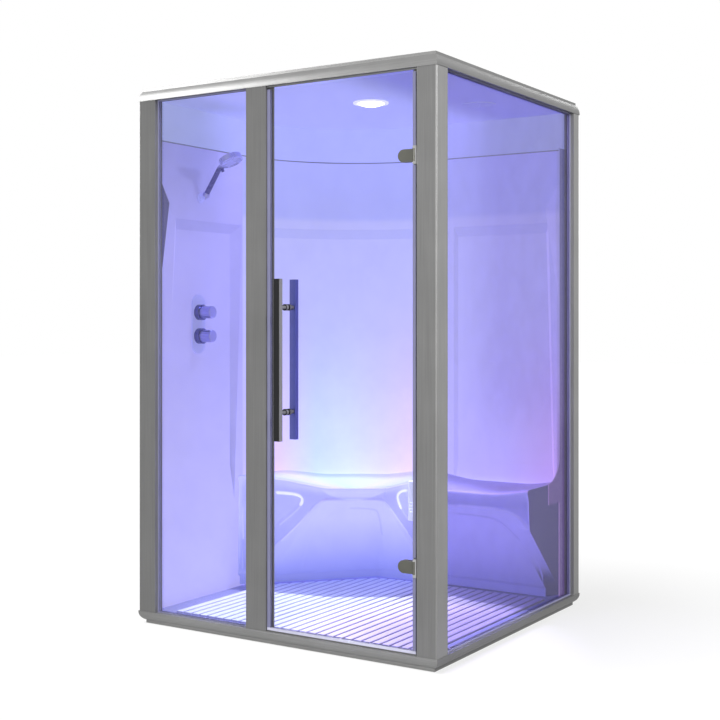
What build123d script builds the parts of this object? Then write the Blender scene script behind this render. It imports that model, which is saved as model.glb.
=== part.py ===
from build123d import *
import math
import os

# Steam sauna cabin for two people: an aluminium frame with glass in front and on the right, a moulded
# interior with two seats, and a glass door hinged on its right edge. All lengths are millimetres.
# The shapes are drawn from the front left bottom corner of the frame: X to the right, Y to the back, Z up.
# write() then moves them to the part's own origin, the middle of the bounding box at floor level.

# Overall size
cabin_width = 1370.0
cabin_depth = 1270.0
cabin_height = 2150.0
overrun = 2.0
fit_gap = 0.3
hair = 0.05

# Rails: the outer face curves back to a thin lip at the top and at the floor
rail_height = 50.0
rail_depth = 45.0
rail_wall = 3.0
rail_flat = 4.0
top_lip_height = 11.0
top_lip_inset = 12.0
top_lip_step = 1.5
base_lip_height = 13.0
base_lip_inset = 20.0
base_lip_step = 2.5

# Posts and mullion
post_setback = 2.0
post_wall = 3.0
post_width = 87.0
hinge_post_width = 82.0
front_side_leg = 80.0
back_side_leg = 60.0
post_corner_radius = 6.0
front_window_width = 456.0
mullion_width = 93.0
stop_flange_width = 20.0
hinge_stop_flange_width = 27.0
stop_flange_thickness = 4.0
stop_flange_setback = 26.5

# Glass, glazing channels and door seals
glass_thickness = 8.0
window_setback = 20.0
gasket_width = 5.0
gasket_lip = 2.0
gasket_slot_depth = 3.0
door_setback = 11.0
door_strike_gap = 11.0
door_hinge_gap = 5.0
door_foot_gap = 10.0
door_head_gap = 14.0
door_corner_radius = 4.0
seal_wrap = 2.0
seal_overlap = 5.0
strike_seal_reach = 9.0
hinge_seal_reach = 7.0
sweep_reach = 5.0
threshold_height = 3.5
head_strip_height = 6.0

# Outer panels
panel_thickness = 1.5
panel_setback = 8.0
roof_panel_drop = 16.0

# Moulded interior. Shares of the room run from its left wall and from its front; those of a recess
# run along its own wall.
liner_thickness = 5.0
corner_radius_share = 0.511
ceiling_drop = 44.0
ceiling_rim = 4.0
ceiling_side = 156.0
seam_gap = 1.5
cheek_depth = 60.0
cheek_blend_radius = 110.0
recess_depth = 12.0
recess_above_seat = 80.0
recess_below_seam = 353.0
recess_bevel = 43.0
recess_edge_bevel = 16.0
recess_fade = 150.0
left_recess_front_share = 0.2422
left_recess_front_low_share = 0.115
left_recess_back_share = 0.8693
left_recess_back_bevel_share = 0.122
back_recess_left_share = 0.2284
back_recess_right_share = 0.8687
back_recess_right_low_share = 0.9134
corner_recess_margin_degrees = 5.0
facet_reach = 89.0
facet_rise = 24.0
facet_peak_below_seam = 250.0
facet_top_below_seam = 100.0
facet_foot_below_seam = 800.0

# Floor: feet, tray, drain and slatted deck
foot_radius = 25.0
foot_height = 9.0
foot_stud_radius = 5.0
foot_stud_height = 9.0
foot_inset = 110.0
tray_side_gap = 1.0
tray_top = 48.0
well_floor = 20.0
well_shares = (
    (0.0732, 0.0136),
    (0.9843, 0.0136),
    (0.9843, 0.8688),
    (0.4331, 0.8688),
    (0.3386, 0.8509),
    (0.0732, 0.523),
)
deck_gap = 2.0
deck_top = 55.0
slat_pitch = 40.0
slat_width = 31.0
slat_thickness = 12.0
slat_chamfer = 2.5
bearer_width = 30.0
bearer_place_shares = (0.09, 0.34, 0.6, 0.88)
drain_from_middle = 35.0
drain_place_share = 0.456
drain_radius = 55.0
drain_flange = 8.0
drain_flange_thickness = 2.0
drain_wall = 3.0
drain_bottom = 3.0
drain_outlet_radius = 25.0
drain_outlet_length = 10.0
strainer_thickness = 3.0
strainer_slot = 4.0
strainer_slot_pitch = 11.0
strainer_slot_count = 7
strainer_margin = 8.0

# Seats
seat_height = 510.0
fascia_height = 60.0
kick_height = 100.0
kick_setback = 12.0
seat_wall = 6.0
seat_gap = 0.5
seat_split_share = 0.5402
bolster_rise = 28.0
bolster_run = 205.0
dish_half_width = 130.0
strip_channel = 14.0
strip_channel_depth = 10.0
strip_gap = 1.0
strip_height = 8.0
apron_bend_depth = 143.0
left_seat_edge_shares = (
    (0.0, 0.4617),
    (0.1409, 0.4736),
    (0.3457, 0.5153),
    (0.5079, 0.6278),
    (0.5094, 0.6329),
    (0.5402, 0.7487),
)
left_seat_fascia_shares = (
    (0.0, 0.4651),
    (0.1299, 0.4821),
    (0.3236, 0.5264),
    (0.4874, 0.6422),
    (0.489, 0.6465),
    (0.5402, 0.7615),
)
left_seat_foot_shares = (
    (0.0, 0.4617),
    (0.0724, 0.5298),
    (0.0787, 0.54),
    (0.3433, 0.8654),
    (0.537, 0.8807),
    (0.5402, 0.8842),
)
right_seat_edge_shares = (
    (0.5402, 0.7487),
    (0.5906, 0.7189),
    (0.6732, 0.6848),
    (0.8976, 0.6848),
    (1.0, 0.6848),
)
right_seat_fascia_shares = (
    (0.5402, 0.7615),
    (0.6, 0.7317),
    (0.6811, 0.7002),
    (0.8976, 0.7002),
    (1.0, 0.6951),
)
right_seat_bend_shares = (
    (0.5402, 0.7896),
    (0.5906, 0.7675),
    (0.6693, 0.7436),
    (0.9165, 0.7436),
    (1.0, 0.7019),
)
right_seat_foot_shares = (
    (0.5402, 0.8807),
    (0.5606, 0.8816),
    (0.6299, 0.8825),
    (0.9764, 0.8825),
    (1.0, 0.9404),
)
left_seat_facing = (0.545, -0.838)
left_seat_middle_shares = (0.4268, 0.5716)

# Steam outlet between the seats, and the steam generator behind the right seat front
cowl_from_split = 39.0
cowl_front_share = 0.695
cowl_depth = 78.0
cowl_width = 46.0
cowl_drop = 148.0
cowl_rise = 20.0
cowl_radius = 14.0
cowl_slot_height = 5.0
cowl_slot_length = 26.0
cowl_slot_depth = 30.0
cowl_slot_pitch = 13.0
cowl_slot_count = 4
generator_left_share = 0.6614
generator_right_share = 0.9291
generator_depth_share = 0.1065
generator_low = 195.0
generator_top_gap = 75.0
generator_radius = 10.0
generator_wall = 3.0
steam_pipe_radius = 10.0
steam_pipe_wall = 1.5
steam_pipe_bend = 40.0
steam_pipe_drop = 90.0

# Ceiling fittings and roof
lamp_from_middle = 77.0
lamp_forward = 85.0
lamp_ring_radius = 72.0
lamp_ring_drop = 5.0
lamp_body_radius = 58.0
lamp_body_wall = 3.0
lamp_body_rise = 18.0
lamp_lens_drop = 14.0
lens_seat = 4.0
grille_right_inset = 260.0
grille_back_inset = 435.0
grille_radius = 68.0
grille_drop = 3.0
grille_hole_radius = 3.0
grille_ring_pitch = 12.0
grille_ring_count = 4
grille_holes_per_ring = 6
control_box_right_inset = 360.0
control_box_back_inset = 270.0
control_box_width = 190.0
control_box_depth = 120.0
control_box_height = 14.0
control_box_radius = 5.0
gland_right_inset = 220.0
gland_back_inset = 120.0
gland_radius = 10.0
gland_thread_radius = 7.0
gland_bore = 5.0
gland_height = 15.0
gland_flange_radius = 14.0
gland_flange_height = 3.0
gland_tail = 8.0

# Mixer on the left wall
mixer_place_share = 0.3972
mixer_height_share = 0.609
mixer_plate_height = 250.0
mixer_plate_width = 85.0
mixer_plate_thickness = 6.0
knob_spacing = 100.0
boss_radius = 33.0
boss_sleeve_radius = 26.0
boss_length = 22.0
spindle_radius = 7.0
spindle_length = 28.0
knob_radius = 26.0
knob_length = 54.0
knob_edge = 3.0
knob_flute_radius = 3.0
knob_flute_count = 12
knob_gap = 0.6
knob_button_radius = 4.0
knob_button_height = 3.0
valve_width = 70.0
valve_height = 184.0
valve_depth = 20.0
inlet_spacing = 150.0
inlet_outer_radius = 14.0
inlet_bore_radius = 9.3
inlet_bore_length = 16.0
pipe_radius = 7.0

# Hand shower in its tilting wall holder, above the mixer: a slim handle and a round head bent forward
shower_below_seam = 214.0
rosette_radius = 20.0
rosette_thickness = 5.0
neck_radius = 8.0
neck_length = 12.0
fork_ear = 3.0
fork_gap = 10.0
fork_radius = 7.0
pivot_pin_radius = 2.5
holder_start = 8.0
holder_length = 16.0
holder_radius = 14.5
socket_floor = 4.0
handset_lean_degrees = 33.9
handset_foot_radius = 11.0
handset_neck_radius = 10.0
handset_length = 147.0
head_lean_degrees = 64.0
head_place = 64.0
head_radius = 49.0
head_thickness = 22.0
head_face_radius = 41.0
head_face_depth = 2.0
selector_place = 8.0
selector_boss = 12.0
selector_boss_radius = 8.0
selector_radius = 6.5
selector_length = 11.0
selector_spindle = 2.5

# Door hinges
hinge_from_end = 356.0
hinge_axis_y = 2.0
barrel_radius = 6.0
hinge_pin_radius = 3.0
leaf_height = 64.0
leaf_thickness = 4.0
leaf_front = -4.0
leaf_back = 22.0
clamp_height = 45.0
clamp_reach = 68.0
clamp_thickness = 6.0
clamp_end_gap = 3.0
barrel_gap = 0.4
clamp_screw_radius = 3.0
clamp_screw_head = 5.0
clamp_screw_head_depth = 3.0
clamp_screw_inset = 20.0
clamp_screw_spacing = 25.0

# Door handles
handle_length = 600.0
handle_width = 29.0
handle_depth = 20.0
handle_edge = 2.0
handle_inset = 78.0
handle_drop = 3.0
handle_reach = 52.0
handle_inner_gap = 31.0
standoff_spacing = 390.0
standoff_radius = 8.0
standoff_collar_radius = 12.0
standoff_collar_length = 13.0
standoff_stud_radius = 5.0

# Places that follow from the sizes above
top_rail_low = cabin_height - rail_height
mullion_left = post_width + front_window_width
mullion_right = mullion_left + mullion_width
hinge_face = cabin_width - hinge_post_width
hinge_axis_x = hinge_face - leaf_thickness - barrel_radius
door_left = mullion_right + door_strike_gap
door_right = hinge_axis_x - door_hinge_gap
door_bottom = rail_height + door_foot_gap
door_top = top_rail_low - door_head_gap
door_back = door_setback + glass_thickness
hinge_heights = (hinge_from_end, cabin_height - hinge_from_end)
clamp_left = hinge_axis_x - clamp_reach
clamp_screw_places = (clamp_left + clamp_screw_inset, clamp_left + clamp_screw_inset + clamp_screw_spacing)
handle_x = door_left + handle_inset
handle_middle = cabin_height / 2 - handle_drop
tray_low = foot_height
tray_edge = rail_depth + tray_side_gap
room_left = rail_depth + liner_thickness
room_right = cabin_width - rail_depth - liner_thickness
room_front = tray_edge
room_back = cabin_depth - rail_depth - liner_thickness
room_width = room_right - room_left
room_depth = room_back - room_front
room_corner_radius = corner_radius_share * min(room_width, room_depth)
arc_x = room_left + room_corner_radius
arc_y = room_back - room_corner_radius
ceiling_height = cabin_height - ceiling_drop
seam_height = ceiling_height - ceiling_side
fascia_low = seat_height - fascia_height
apron_bend = seat_height - apron_bend_depth
seat_split = room_left + seat_split_share * room_width
recess_low = seat_height + recess_above_seat
recess_top = seam_height - recess_below_seam
left_recess_front = room_front + left_recess_front_share * (arc_y - room_front)
left_recess_back = room_front + left_recess_back_share * (arc_y - room_front)
roof_panel_low = cabin_height - roof_panel_drop - panel_thickness
lamp_x = cabin_width / 2 + lamp_from_middle
lamp_y = cabin_depth / 2 - lamp_forward
grille_x = cabin_width - grille_right_inset
grille_y = cabin_depth - grille_back_inset
gland_x = cabin_width - gland_right_inset
gland_y = cabin_depth - gland_back_inset
cowl_x = seat_split + cowl_from_split
cowl_front = room_front + cowl_front_share * room_depth
cowl_back = cowl_front + cowl_depth
steam_pipe_height = seat_height - steam_pipe_drop
mixer_y = left_recess_front + mixer_place_share * (left_recess_back - left_recess_front)
mixer_z = recess_low + mixer_height_share * (recess_top - recess_low)
shower_z = seam_height - shower_below_seam
well_left = room_left + well_shares[0][0] * room_width
well_front = room_front + well_shares[0][1] * room_depth
well_right = room_left + well_shares[2][0] * room_width
well_back = room_front + well_shares[2][1] * room_depth
drain_x = cabin_width / 2 + drain_from_middle
drain_y = well_front + drain_place_share * (well_back - well_front)
wall_face = room_left - recess_depth
valve_right = wall_face - liner_thickness
pipe_x = valve_right - valve_depth / 2
pivot_x = room_left + rosette_thickness + neck_length + fork_radius
origin_shift = (-cabin_width / 2, (handle_reach - cabin_depth) / 2, 0)


def write(name, *solids):
    """Moves a node's solids to the part's origin and writes its STEP file."""
    placed = [Pos(*origin_shift) * solid for solid in solids]
    shape = placed[0] if len(placed) == 1 else Compound(children=placed)
    export_step(shape, f"parts/{name}.step")


def room_point(shares):
    """Plan point of the room from its shares of the room's width and depth."""
    return (room_left + shares[0] * room_width, room_front + shares[1] * room_depth)


def room_points(table):
    """Plan points of the room from a table of shares."""
    return [room_point(shares) for shares in table]


def block(low, high):
    """Box between its low and its high corner."""
    size = [b - a for a, b in zip(low, high)]
    return Pos(*low) * Box(*size, align=(Align.MIN, Align.MIN, Align.MIN))


def rod(start, end, radius):
    """Cylinder from one point to another."""
    line = Vector(*end) - Vector(*start)
    base = Plane(origin=start, z_dir=line)
    return base * Cylinder(radius, line.length, align=(Align.CENTER, Align.CENTER, Align.MIN))


def prism(points, low, high):
    """Upright prism on a plan outline."""
    outline = Polyline(*points, close=True)
    return Pos(0, 0, low) * extrude(make_face(outline), high - low)


def tapered(rim, floor):
    """Solid between two outlines of as many corners, with straight sides."""
    wires = [Wire(Polyline(*rim, close=True)), Wire(Polyline(*floor, close=True))]
    return Solid.make_loft(wires, ruled=True)


# Frame


def rail_section(lip_height, lip_inset, lip_step):
    """Rail section: X runs inward from the outer face, Y up towards the lip. Hollow inside."""
    rise = rail_height - lip_height - rail_flat
    half_turn = math.atan2(lip_inset, rise)
    radius = rise / math.sin(2 * half_turn)
    bulge = JernArc((0, rail_flat), (0, 1), radius, -math.degrees(2 * half_turn))
    tip = bulge @ 1
    rest = Polyline(
        tip,
        (tip.X + lip_step, tip.Y),
        (tip.X + lip_step, rail_height),
        (rail_depth, rail_height),
        (rail_depth, 0),
        (0, 0),
        (0, rail_flat),
    )
    hollow_left = lip_inset + lip_step + rail_wall
    hollow = Pos(hollow_left, rail_wall) * Rectangle(
        rail_depth - hollow_left - rail_wall,
        rail_height - 2 * rail_wall,
        align=(Align.MIN, Align.MIN),
    )
    return make_face(bulge + rest) - hollow


def rail(length, section):
    """Rail along X with its ends cut at 45 degrees, outer face at Y zero and lip up."""
    upright = Plane(origin=(0, 0, 0), x_dir=(0, 1, 0), z_dir=(1, 0, 0)) * section
    plan = [(0, 0), (length, 0), (length - rail_depth, rail_depth), (rail_depth, rail_depth)]
    return extrude(upright, length) & prism(plan, -overrun, rail_height + overrun)


def rails():
    """Top rails, and base rails with their lip turned down."""
    top = rail_section(top_lip_height, top_lip_inset, top_lip_step)
    base = rail_section(base_lip_height, base_lip_inset, base_lip_step)
    spots = {
        "front": (cabin_width, (0, 0), 0),
        "right": (cabin_depth, (cabin_width, 0), 90),
        "back": (cabin_width, (cabin_width, cabin_depth), 180),
        "left": (cabin_depth, (0, cabin_depth), 270),
    }
    for side, (length, corner, turn) in spots.items():
        write(f"top_rail_{side}", Pos(*corner, top_rail_low) * Rot(0, 0, turn) * rail(length, top))
        lip_down = Pos(0, 0, rail_height) * mirror(rail(length, base), Plane.XY)
        write(f"base_rail_{side}", Pos(*corner, 0) * Rot(0, 0, turn) * lip_down)


def angle_post(front_leg, side_leg):
    """Hollow L-shaped corner post, drawn at the front left corner."""
    s = post_setback
    d = rail_depth
    w = post_wall
    outer = [(s, s), (front_leg, s), (front_leg, d), (d, d), (d, side_leg), (s, side_leg)]
    inner = [
        (s + w, s + w),
        (front_leg - w, s + w),
        (front_leg - w, d - w),
        (d - w, d - w),
        (d - w, side_leg - w),
        (s + w, side_leg - w),
    ]
    tube = prism(outer, rail_height, top_rail_low)
    corner = [e for e in tube.edges().filter_by(Axis.Z) if e.center().X < s + w and e.center().Y < s + w]
    return fillet(corner, post_corner_radius) - prism(inner, rail_height - overrun, top_rail_low + overrun)


def posts():
    """Corner posts and mullion, with the flanges that the door closes against."""
    across = Plane.YZ.offset(cabin_width / 2)
    along = Plane.XZ.offset(-cabin_depth / 2)
    flange_back = stop_flange_setback + stop_flange_thickness
    write("post_front_left", angle_post(post_width, front_side_leg))
    hinge_flange = block(
        (hinge_face - hinge_stop_flange_width, stop_flange_setback, rail_height),
        (hinge_face, flange_back, top_rail_low),
    )
    write("post_front_right", mirror(angle_post(hinge_post_width, front_side_leg), across) + hinge_flange)
    back = mirror(angle_post(post_width, back_side_leg), along)
    write("post_back_left", back)
    write("post_back_right", mirror(back, across))
    w = post_wall
    tube = block((mullion_left, post_setback, rail_height), (mullion_right, rail_depth, top_rail_low))
    hollow = block(
        (mullion_left + w, post_setback + w, rail_height - overrun),
        (mullion_right - w, rail_depth - w, top_rail_low + overrun),
    )
    strike_flange = block(
        (mullion_right, stop_flange_setback, rail_height),
        (mullion_right + stop_flange_width, flange_back, top_rail_low),
    )
    write("mullion", tube - hollow + strike_flange)


# Glazing and outer panels


def window(name, length, seat):
    """Fixed pane in its rubber channel: X along the opening, Y inward from the frame's outer face."""
    glass_edge = gasket_width - gasket_slot_depth
    glass_back = window_setback + glass_thickness
    pane = block(
        (glass_edge, window_setback, rail_height + glass_edge),
        (length - glass_edge, glass_back, top_rail_low - glass_edge),
    )
    channel = block(
        (0, window_setback - gasket_lip, rail_height),
        (length, glass_back + gasket_lip, top_rail_low),
    )
    daylight = block(
        (gasket_width, 0, rail_height + gasket_width),
        (length - gasket_width, rail_depth, top_rail_low - gasket_width),
    )
    write(f"{name}_glass", seat * pane)
    write(f"{name}_gasket", seat * (channel - daylight - pane))


def windows():
    """Front window between left post and mullion, side window between the right posts."""
    window("front_window", mullion_left - post_width, Pos(post_width, 0, 0))
    side_length = cabin_depth - front_side_leg - back_side_leg
    window("side_window", side_length, Pos(cabin_width, front_side_leg, 0) * Rot(0, 0, 90))


def outer_panels():
    """Sheet panels on the left and the back, and the roof sheet between the top rails."""
    inner = panel_setback + panel_thickness
    left = block(
        (panel_setback, front_side_leg, rail_height),
        (inner, cabin_depth - back_side_leg, top_rail_low),
    )
    for z in inlet_heights():
        left -= rod((0, mixer_y, z), (rail_depth, mixer_y, z), inlet_outer_radius + fit_gap)
    write("left_outer_panel", left)
    back = block(
        (post_width, cabin_depth - inner, rail_height),
        (cabin_width - post_width, cabin_depth - panel_setback, top_rail_low),
    )
    write("back_outer_panel", back)
    roof = block(
        (rail_depth, rail_depth, roof_panel_low),
        (cabin_width - rail_depth, cabin_depth - rail_depth, roof_panel_low + panel_thickness),
    )
    cable_hole = rod((gland_x, gland_y, 0), (gland_x, gland_y, cabin_height), gland_thread_radius + fit_gap)
    write("roof_panel", roof - cable_hole)


# Moulded interior


def room_plan(inset, front, right):
    """Plan of the room inside its walls, moved in from them by inset. Front and right are open sides."""
    left_x = room_left + inset
    back_y = room_back - inset
    radius = room_corner_radius - inset
    middle = (arc_x - radius * math.cos(math.pi / 4), arc_y + radius * math.sin(math.pi / 4))
    curve = ThreePointArc((left_x, arc_y), middle, (arc_x, back_y))
    rest = Polyline((arc_x, back_y), (right, back_y), (right, front), (left_x, front), (left_x, arc_y))
    return make_face(curve + rest)


def room_ring(outer_inset, inner_inset, low, high):
    """Band that follows the left wall, the rounded corner and the back wall."""
    ring = room_plan(outer_inset, room_front, room_right) - room_plan(inner_inset, room_front, room_right)
    return Pos(0, 0, low) * extrude(ring, high - low)


def recess(corners, grow, deep, wall):
    """Tapered pocket behind a flat wall. corners are (along, height, bevel along, bevel up)."""
    rim = []
    floor = []
    for (along, up, bevel_along, bevel_up), (grow_along, grow_up) in zip(corners, grow):
        rim.append(wall(along + bevel_along + grow_along, up + bevel_up + grow_up, 0))
        floor.append(wall(along + grow_along, up + grow_up, deep))
    return tapered(rim, floor)


def pocketed(wall_body, corners, wall):
    """Wall with a recessed panel: the pocket's back bulges out by the wall's own thickness."""
    t = liner_thickness
    still = ((0, 0),) * len(corners)
    swell = ((-t, t), (t, t), (t, -t), (-t, -t))
    bulge = recess(corners, swell, recess_depth + t, wall)
    return wall_body + bulge - recess(corners, still, recess_depth, wall)


def left_wall(along, up, deep):
    """Point on the left wall, deep behind its face."""
    return (room_left - deep, along, up)


def back_wall(along, up, deep):
    """Point on the back wall, deep behind its face."""
    return (along, room_back + deep, up)


def pillar_facet(wall, edge, way):
    """Sloping bulge where a wall meets the post at its edge, widest at its peak height."""
    peak = seam_height - facet_peak_below_seam
    base = [
        wall(edge + way * facet_reach, peak, 0),
        wall(edge, seam_height - facet_top_below_seam, 0),
        wall(edge, seam_height - facet_foot_below_seam, 0),
    ]
    ridge = Vertex(*wall(edge, peak, -facet_rise))
    return Solid.make_loft([Wire(Polyline(*base, close=True)), ridge], ruled=True)


def wall_liners():
    """Left wall, rounded corner and back wall up to the seam, each with a recessed panel."""
    shell = room_ring(-liner_thickness, 0, tray_top, seam_height - seam_gap)
    far = cabin_width * 2
    left_wall_liner(shell & block((-far, -far, 0), (arc_x, arc_y, cabin_height)))
    back_wall_liner(shell & block((arc_x, arc_y, 0), (far, far, cabin_height)))
    write("wall_liner_corner", corner_recess(shell & block((-far, arc_y, 0), (arc_x, far, cabin_height))))


def left_wall_liner(body):
    """Left wall with its recess, the facet at the post and the holes for mixer and shower."""
    e = recess_edge_bevel
    wall_length = arc_y - room_front
    low_front = room_front + left_recess_front_low_share * wall_length
    corners = (
        (left_recess_front, recess_top, -e, recess_bevel),
        (left_recess_back, recess_top, left_recess_back_bevel_share * wall_length, recess_bevel),
        (left_recess_back, recess_low, e, -recess_fade),
        (low_front, recess_low, -e, -recess_fade),
    )
    wall = pocketed(body, corners, left_wall) + pillar_facet(left_wall, room_front, 1)
    for z in valve_heights():
        wall -= rod((0, mixer_y, z), (room_left, mixer_y, z), boss_sleeve_radius + fit_gap)
    wall -= rod((0, mixer_y, shower_z), (room_left + overrun, mixer_y, shower_z), neck_radius + fit_gap)
    write("wall_liner_left", wall)


def back_wall_liner(body):
    """Back wall with its recess, and the cheek that closes its end, blended out above the seat."""
    e = recess_edge_bevel
    wall_length = room_right - arc_x
    left = arc_x + back_recess_left_share * wall_length
    right = arc_x + back_recess_right_share * wall_length
    right_low = arc_x + back_recess_right_low_share * wall_length
    corners = (
        (left, recess_top, -e, recess_bevel),
        (right, recess_top, e, recess_bevel),
        (right_low, recess_low, e, -recess_fade),
        (left, recess_low, -e, -recess_fade),
    )
    wall = pocketed(body, corners, back_wall) + pillar_facet(back_wall, room_right, -1)
    outside = room_right + liner_thickness
    cheek_front = room_back - cheek_depth
    cheek = block(
        (room_right, cheek_front, tray_top),
        (outside, room_back + liner_thickness, seam_height - seam_gap),
    )
    blend_front = cheek_front - cheek_blend_radius
    blend_top = seat_height + bolster_rise + cheek_blend_radius
    blend = block((room_right, blend_front, fascia_low), (outside, cheek_front, blend_top))
    blend -= rod(
        (room_right - overrun, blend_front, blend_top),
        (outside + overrun, blend_front, blend_top),
        cheek_blend_radius,
    )
    write("wall_liner_back", wall + cheek + blend)


def corner_recess(body):
    """Turns the recessed panel round the corner's own axis, out of a wall that bulges with it."""
    t = liner_thickness
    radius = room_corner_radius
    axis = Axis((arc_x, arc_y, 0), (0, 0, 1))

    def turned(deep, swell, margin):
        section = [
            (radius, recess_top + recess_bevel + swell),
            (radius + deep, recess_top + swell),
            (radius + deep, recess_low - swell),
            (radius, recess_low - recess_fade - swell),
        ]
        points = [(arc_x - r, arc_y, z) for r, z in section]
        face = Face(Wire(Polyline(*points, close=True)))
        start = face.rotate(axis, -margin)
        return revolve(start, axis, revolution_arc=-(90 - 2 * margin))

    margin = corner_recess_margin_degrees
    bulge = turned(recess_depth + t, t, margin - math.degrees(t / radius))
    return body + bulge - turned(recess_depth, 0, margin)


def ceiling():
    """Ceiling module: the top of the walls and the ceiling in one moulding, with holes for the fittings."""
    outside = room_plan(-liner_thickness, room_front, room_right)
    inside = room_plan(0, room_front, room_right)
    module = Pos(0, 0, seam_height) * extrude(outside, ceiling_height + liner_thickness - seam_height)
    module -= Pos(0, 0, seam_height - overrun) * extrude(inside, ceiling_height - seam_height + overrun)
    front_rim = block(
        (room_left, room_front, ceiling_height - ceiling_rim),
        (room_right, room_front + liner_thickness, ceiling_height),
    )
    module += front_rim
    lamp_hole = lamp_body_radius + fit_gap
    module -= rod((lamp_x, lamp_y, seam_height), (lamp_x, lamp_y, cabin_height), lamp_hole)
    write("ceiling_liner", module)


# Floor


def well_plan(inset):
    """Plan of the tray's well: its back edge follows the foot of the seats."""
    ways = ((1, 1), (-1, 1), (-1, -1), (1, -1), (1, -1), (1, -1))
    return [(x + i * inset, y + j * inset) for (x, y), (i, j) in zip(room_points(well_shares), ways)]


def foot_places():
    """Plan places of the levelling feet: four corners and the middle of the back half."""
    x_places = (foot_inset, cabin_width - foot_inset)
    y_places = (foot_inset, cabin_depth - foot_inset)
    corners = [(x, y) for x in x_places for y in y_places]
    return corners + [(cabin_width / 2, (drain_y + well_back) / 2)]


def floor_parts():
    """Tray on its feet, drain with its strainer, and the slatted deck in the tray's well."""
    tray = block(
        (tray_edge, tray_edge, tray_low),
        (cabin_width - tray_edge, cabin_depth - tray_edge, tray_top),
    )
    tray -= prism(well_plan(0), well_floor, tray_top + overrun)
    tray -= rod((drain_x, drain_y, 0), (drain_x, drain_y, tray_top), drain_radius)
    feet = []
    for x, y in foot_places():
        stud_top = foot_height + foot_stud_height
        pad = rod((x, y, 0), (x, y, foot_height), foot_radius)
        feet.append(pad + rod((x, y, 0), (x, y, stud_top), foot_stud_radius))
        tray -= rod((x, y, 0), (x, y, stud_top + fit_gap), foot_stud_radius + hair)
    write("floor_tray", tray)
    write("levelling_feet", *feet)
    drain()
    deck()


def drain():
    """Drain cup through the tray with a straight outlet down, and the slotted strainer on it."""
    outer = drain_radius - fit_gap
    inner = outer - drain_wall
    centre = (drain_x, drain_y)
    cup = rod((*centre, drain_bottom), (*centre, well_floor), outer)
    flange_top = well_floor + drain_flange_thickness
    cup += rod((*centre, well_floor), (*centre, flange_top), drain_radius + drain_flange)
    outlet_top = drain_bottom + drain_outlet_length
    cup -= rod((*centre, outlet_top), (*centre, flange_top + overrun), inner)
    cup -= rod((*centre, 0), (*centre, tray_top), drain_outlet_radius)
    write("drain_body", cup)
    lid = rod((*centre, flange_top), (*centre, flange_top + strainer_thickness), drain_radius)
    for i in range(strainer_slot_count):
        offset = (i - (strainer_slot_count - 1) / 2) * strainer_slot_pitch
        half = math.sqrt((inner - strainer_margin) ** 2 - offset ** 2)
        x = drain_x + offset
        lid -= block(
            (x - strainer_slot / 2, drain_y - half, well_floor),
            (x + strainer_slot / 2, drain_y + half, tray_top),
        )
    write("drain_strainer", lid)


def deck():
    """Slats along Y on bearers along X, cut to the well."""
    deck_left = well_left + deck_gap
    deck_right = well_right - deck_gap
    low = deck_top - slat_thickness
    c = slat_chamfer
    section = [
        (0, 0),
        (slat_width, 0),
        (slat_width, slat_thickness - c),
        (slat_width - c, slat_thickness),
        (c, slat_thickness),
        (0, slat_thickness - c),
    ]
    face = make_face(Polyline(*section, close=True))
    start = Plane(origin=(0, well_back, low), x_dir=(1, 0, 0), z_dir=(0, -1, 0))
    slat = extrude(start * face, well_back - well_front)
    count = math.floor((deck_right - deck_left - slat_width) / slat_pitch) + 1
    first = (deck_left + deck_right - slat_width - (count - 1) * slat_pitch) / 2
    slats = [Pos(first + i * slat_pitch, 0, 0) * slat for i in range(count)]
    bearers = []
    for share in bearer_place_shares:
        y = well_front + share * (well_back - well_front)
        bearers.append(block((deck_left, y, well_floor), (deck_right, y + bearer_width, low)))
    grid = bearers[0].fuse(*bearers[1:], *slats)
    write("floor_deck", grid & prism(well_plan(deck_gap), well_floor, deck_top + overrun))


# Seats and steam


def seat_wire(front, inset, low_x, high_x, z, rounded):
    """Closed outline of a seat at one height: its walls behind and its front edge."""
    back_y = room_back - inset
    radius = room_corner_radius - inset
    if rounded:
        low_x = arc_x - radius
    fronts = [Vector(x, y, z) for x, y in front]
    fronts[0] = Vector(low_x, fronts[0].Y, z)
    fronts[-1] = Vector(high_x, fronts[-1].Y, z)
    first = Vector(low_x, arc_y if rounded else back_y, z)
    last = Vector(high_x, back_y, z)
    if rounded:
        bend = Vector(arc_x - radius * math.cos(math.pi / 4), arc_y + radius * math.sin(math.pi / 4), z)
        arc_end = Vector(arc_x, back_y, z)
        edges = [ThreePointArc(first, bend, arc_end), Line(arc_end, last)]
    else:
        edges = [Line(first, last)]
    corners = [last] + fronts[::-1] + [first]
    edges += [Line(a, b) for a, b in zip(corners, corners[1:])]
    return Wire(edges)


def shifted(point, target, distance):
    """Moves a plan point towards a target by a distance."""
    line = Vector(*target) - Vector(*point)
    step = line.normalized() * distance
    return (point[0] + step.X, point[1] + step.Y)


def seat_body(levels, wall_inset, front_inset, low_x, high_x, rounded):
    """Ruled solid through the seat's outlines, each moved in from its faces."""
    wires = []
    for z, front in levels:
        target = ((low_x + high_x) / 2, room_back)
        moved = [shifted(point, target, front_inset) for point in front]
        wires.append(seat_wire(moved, wall_inset, low_x, high_x, z, rounded))
    return Solid.make_loft(wires, ruled=True)


def recessed_foot(levels, low_x, high_x):
    """Two levels of the kick under a seat, set back from its foot."""
    target = ((low_x + high_x) / 2, room_back)
    recessed = [shifted(point, target, kick_setback) for point in levels[0][1]]
    return ((tray_top, recessed), (kick_height, recessed))


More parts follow.
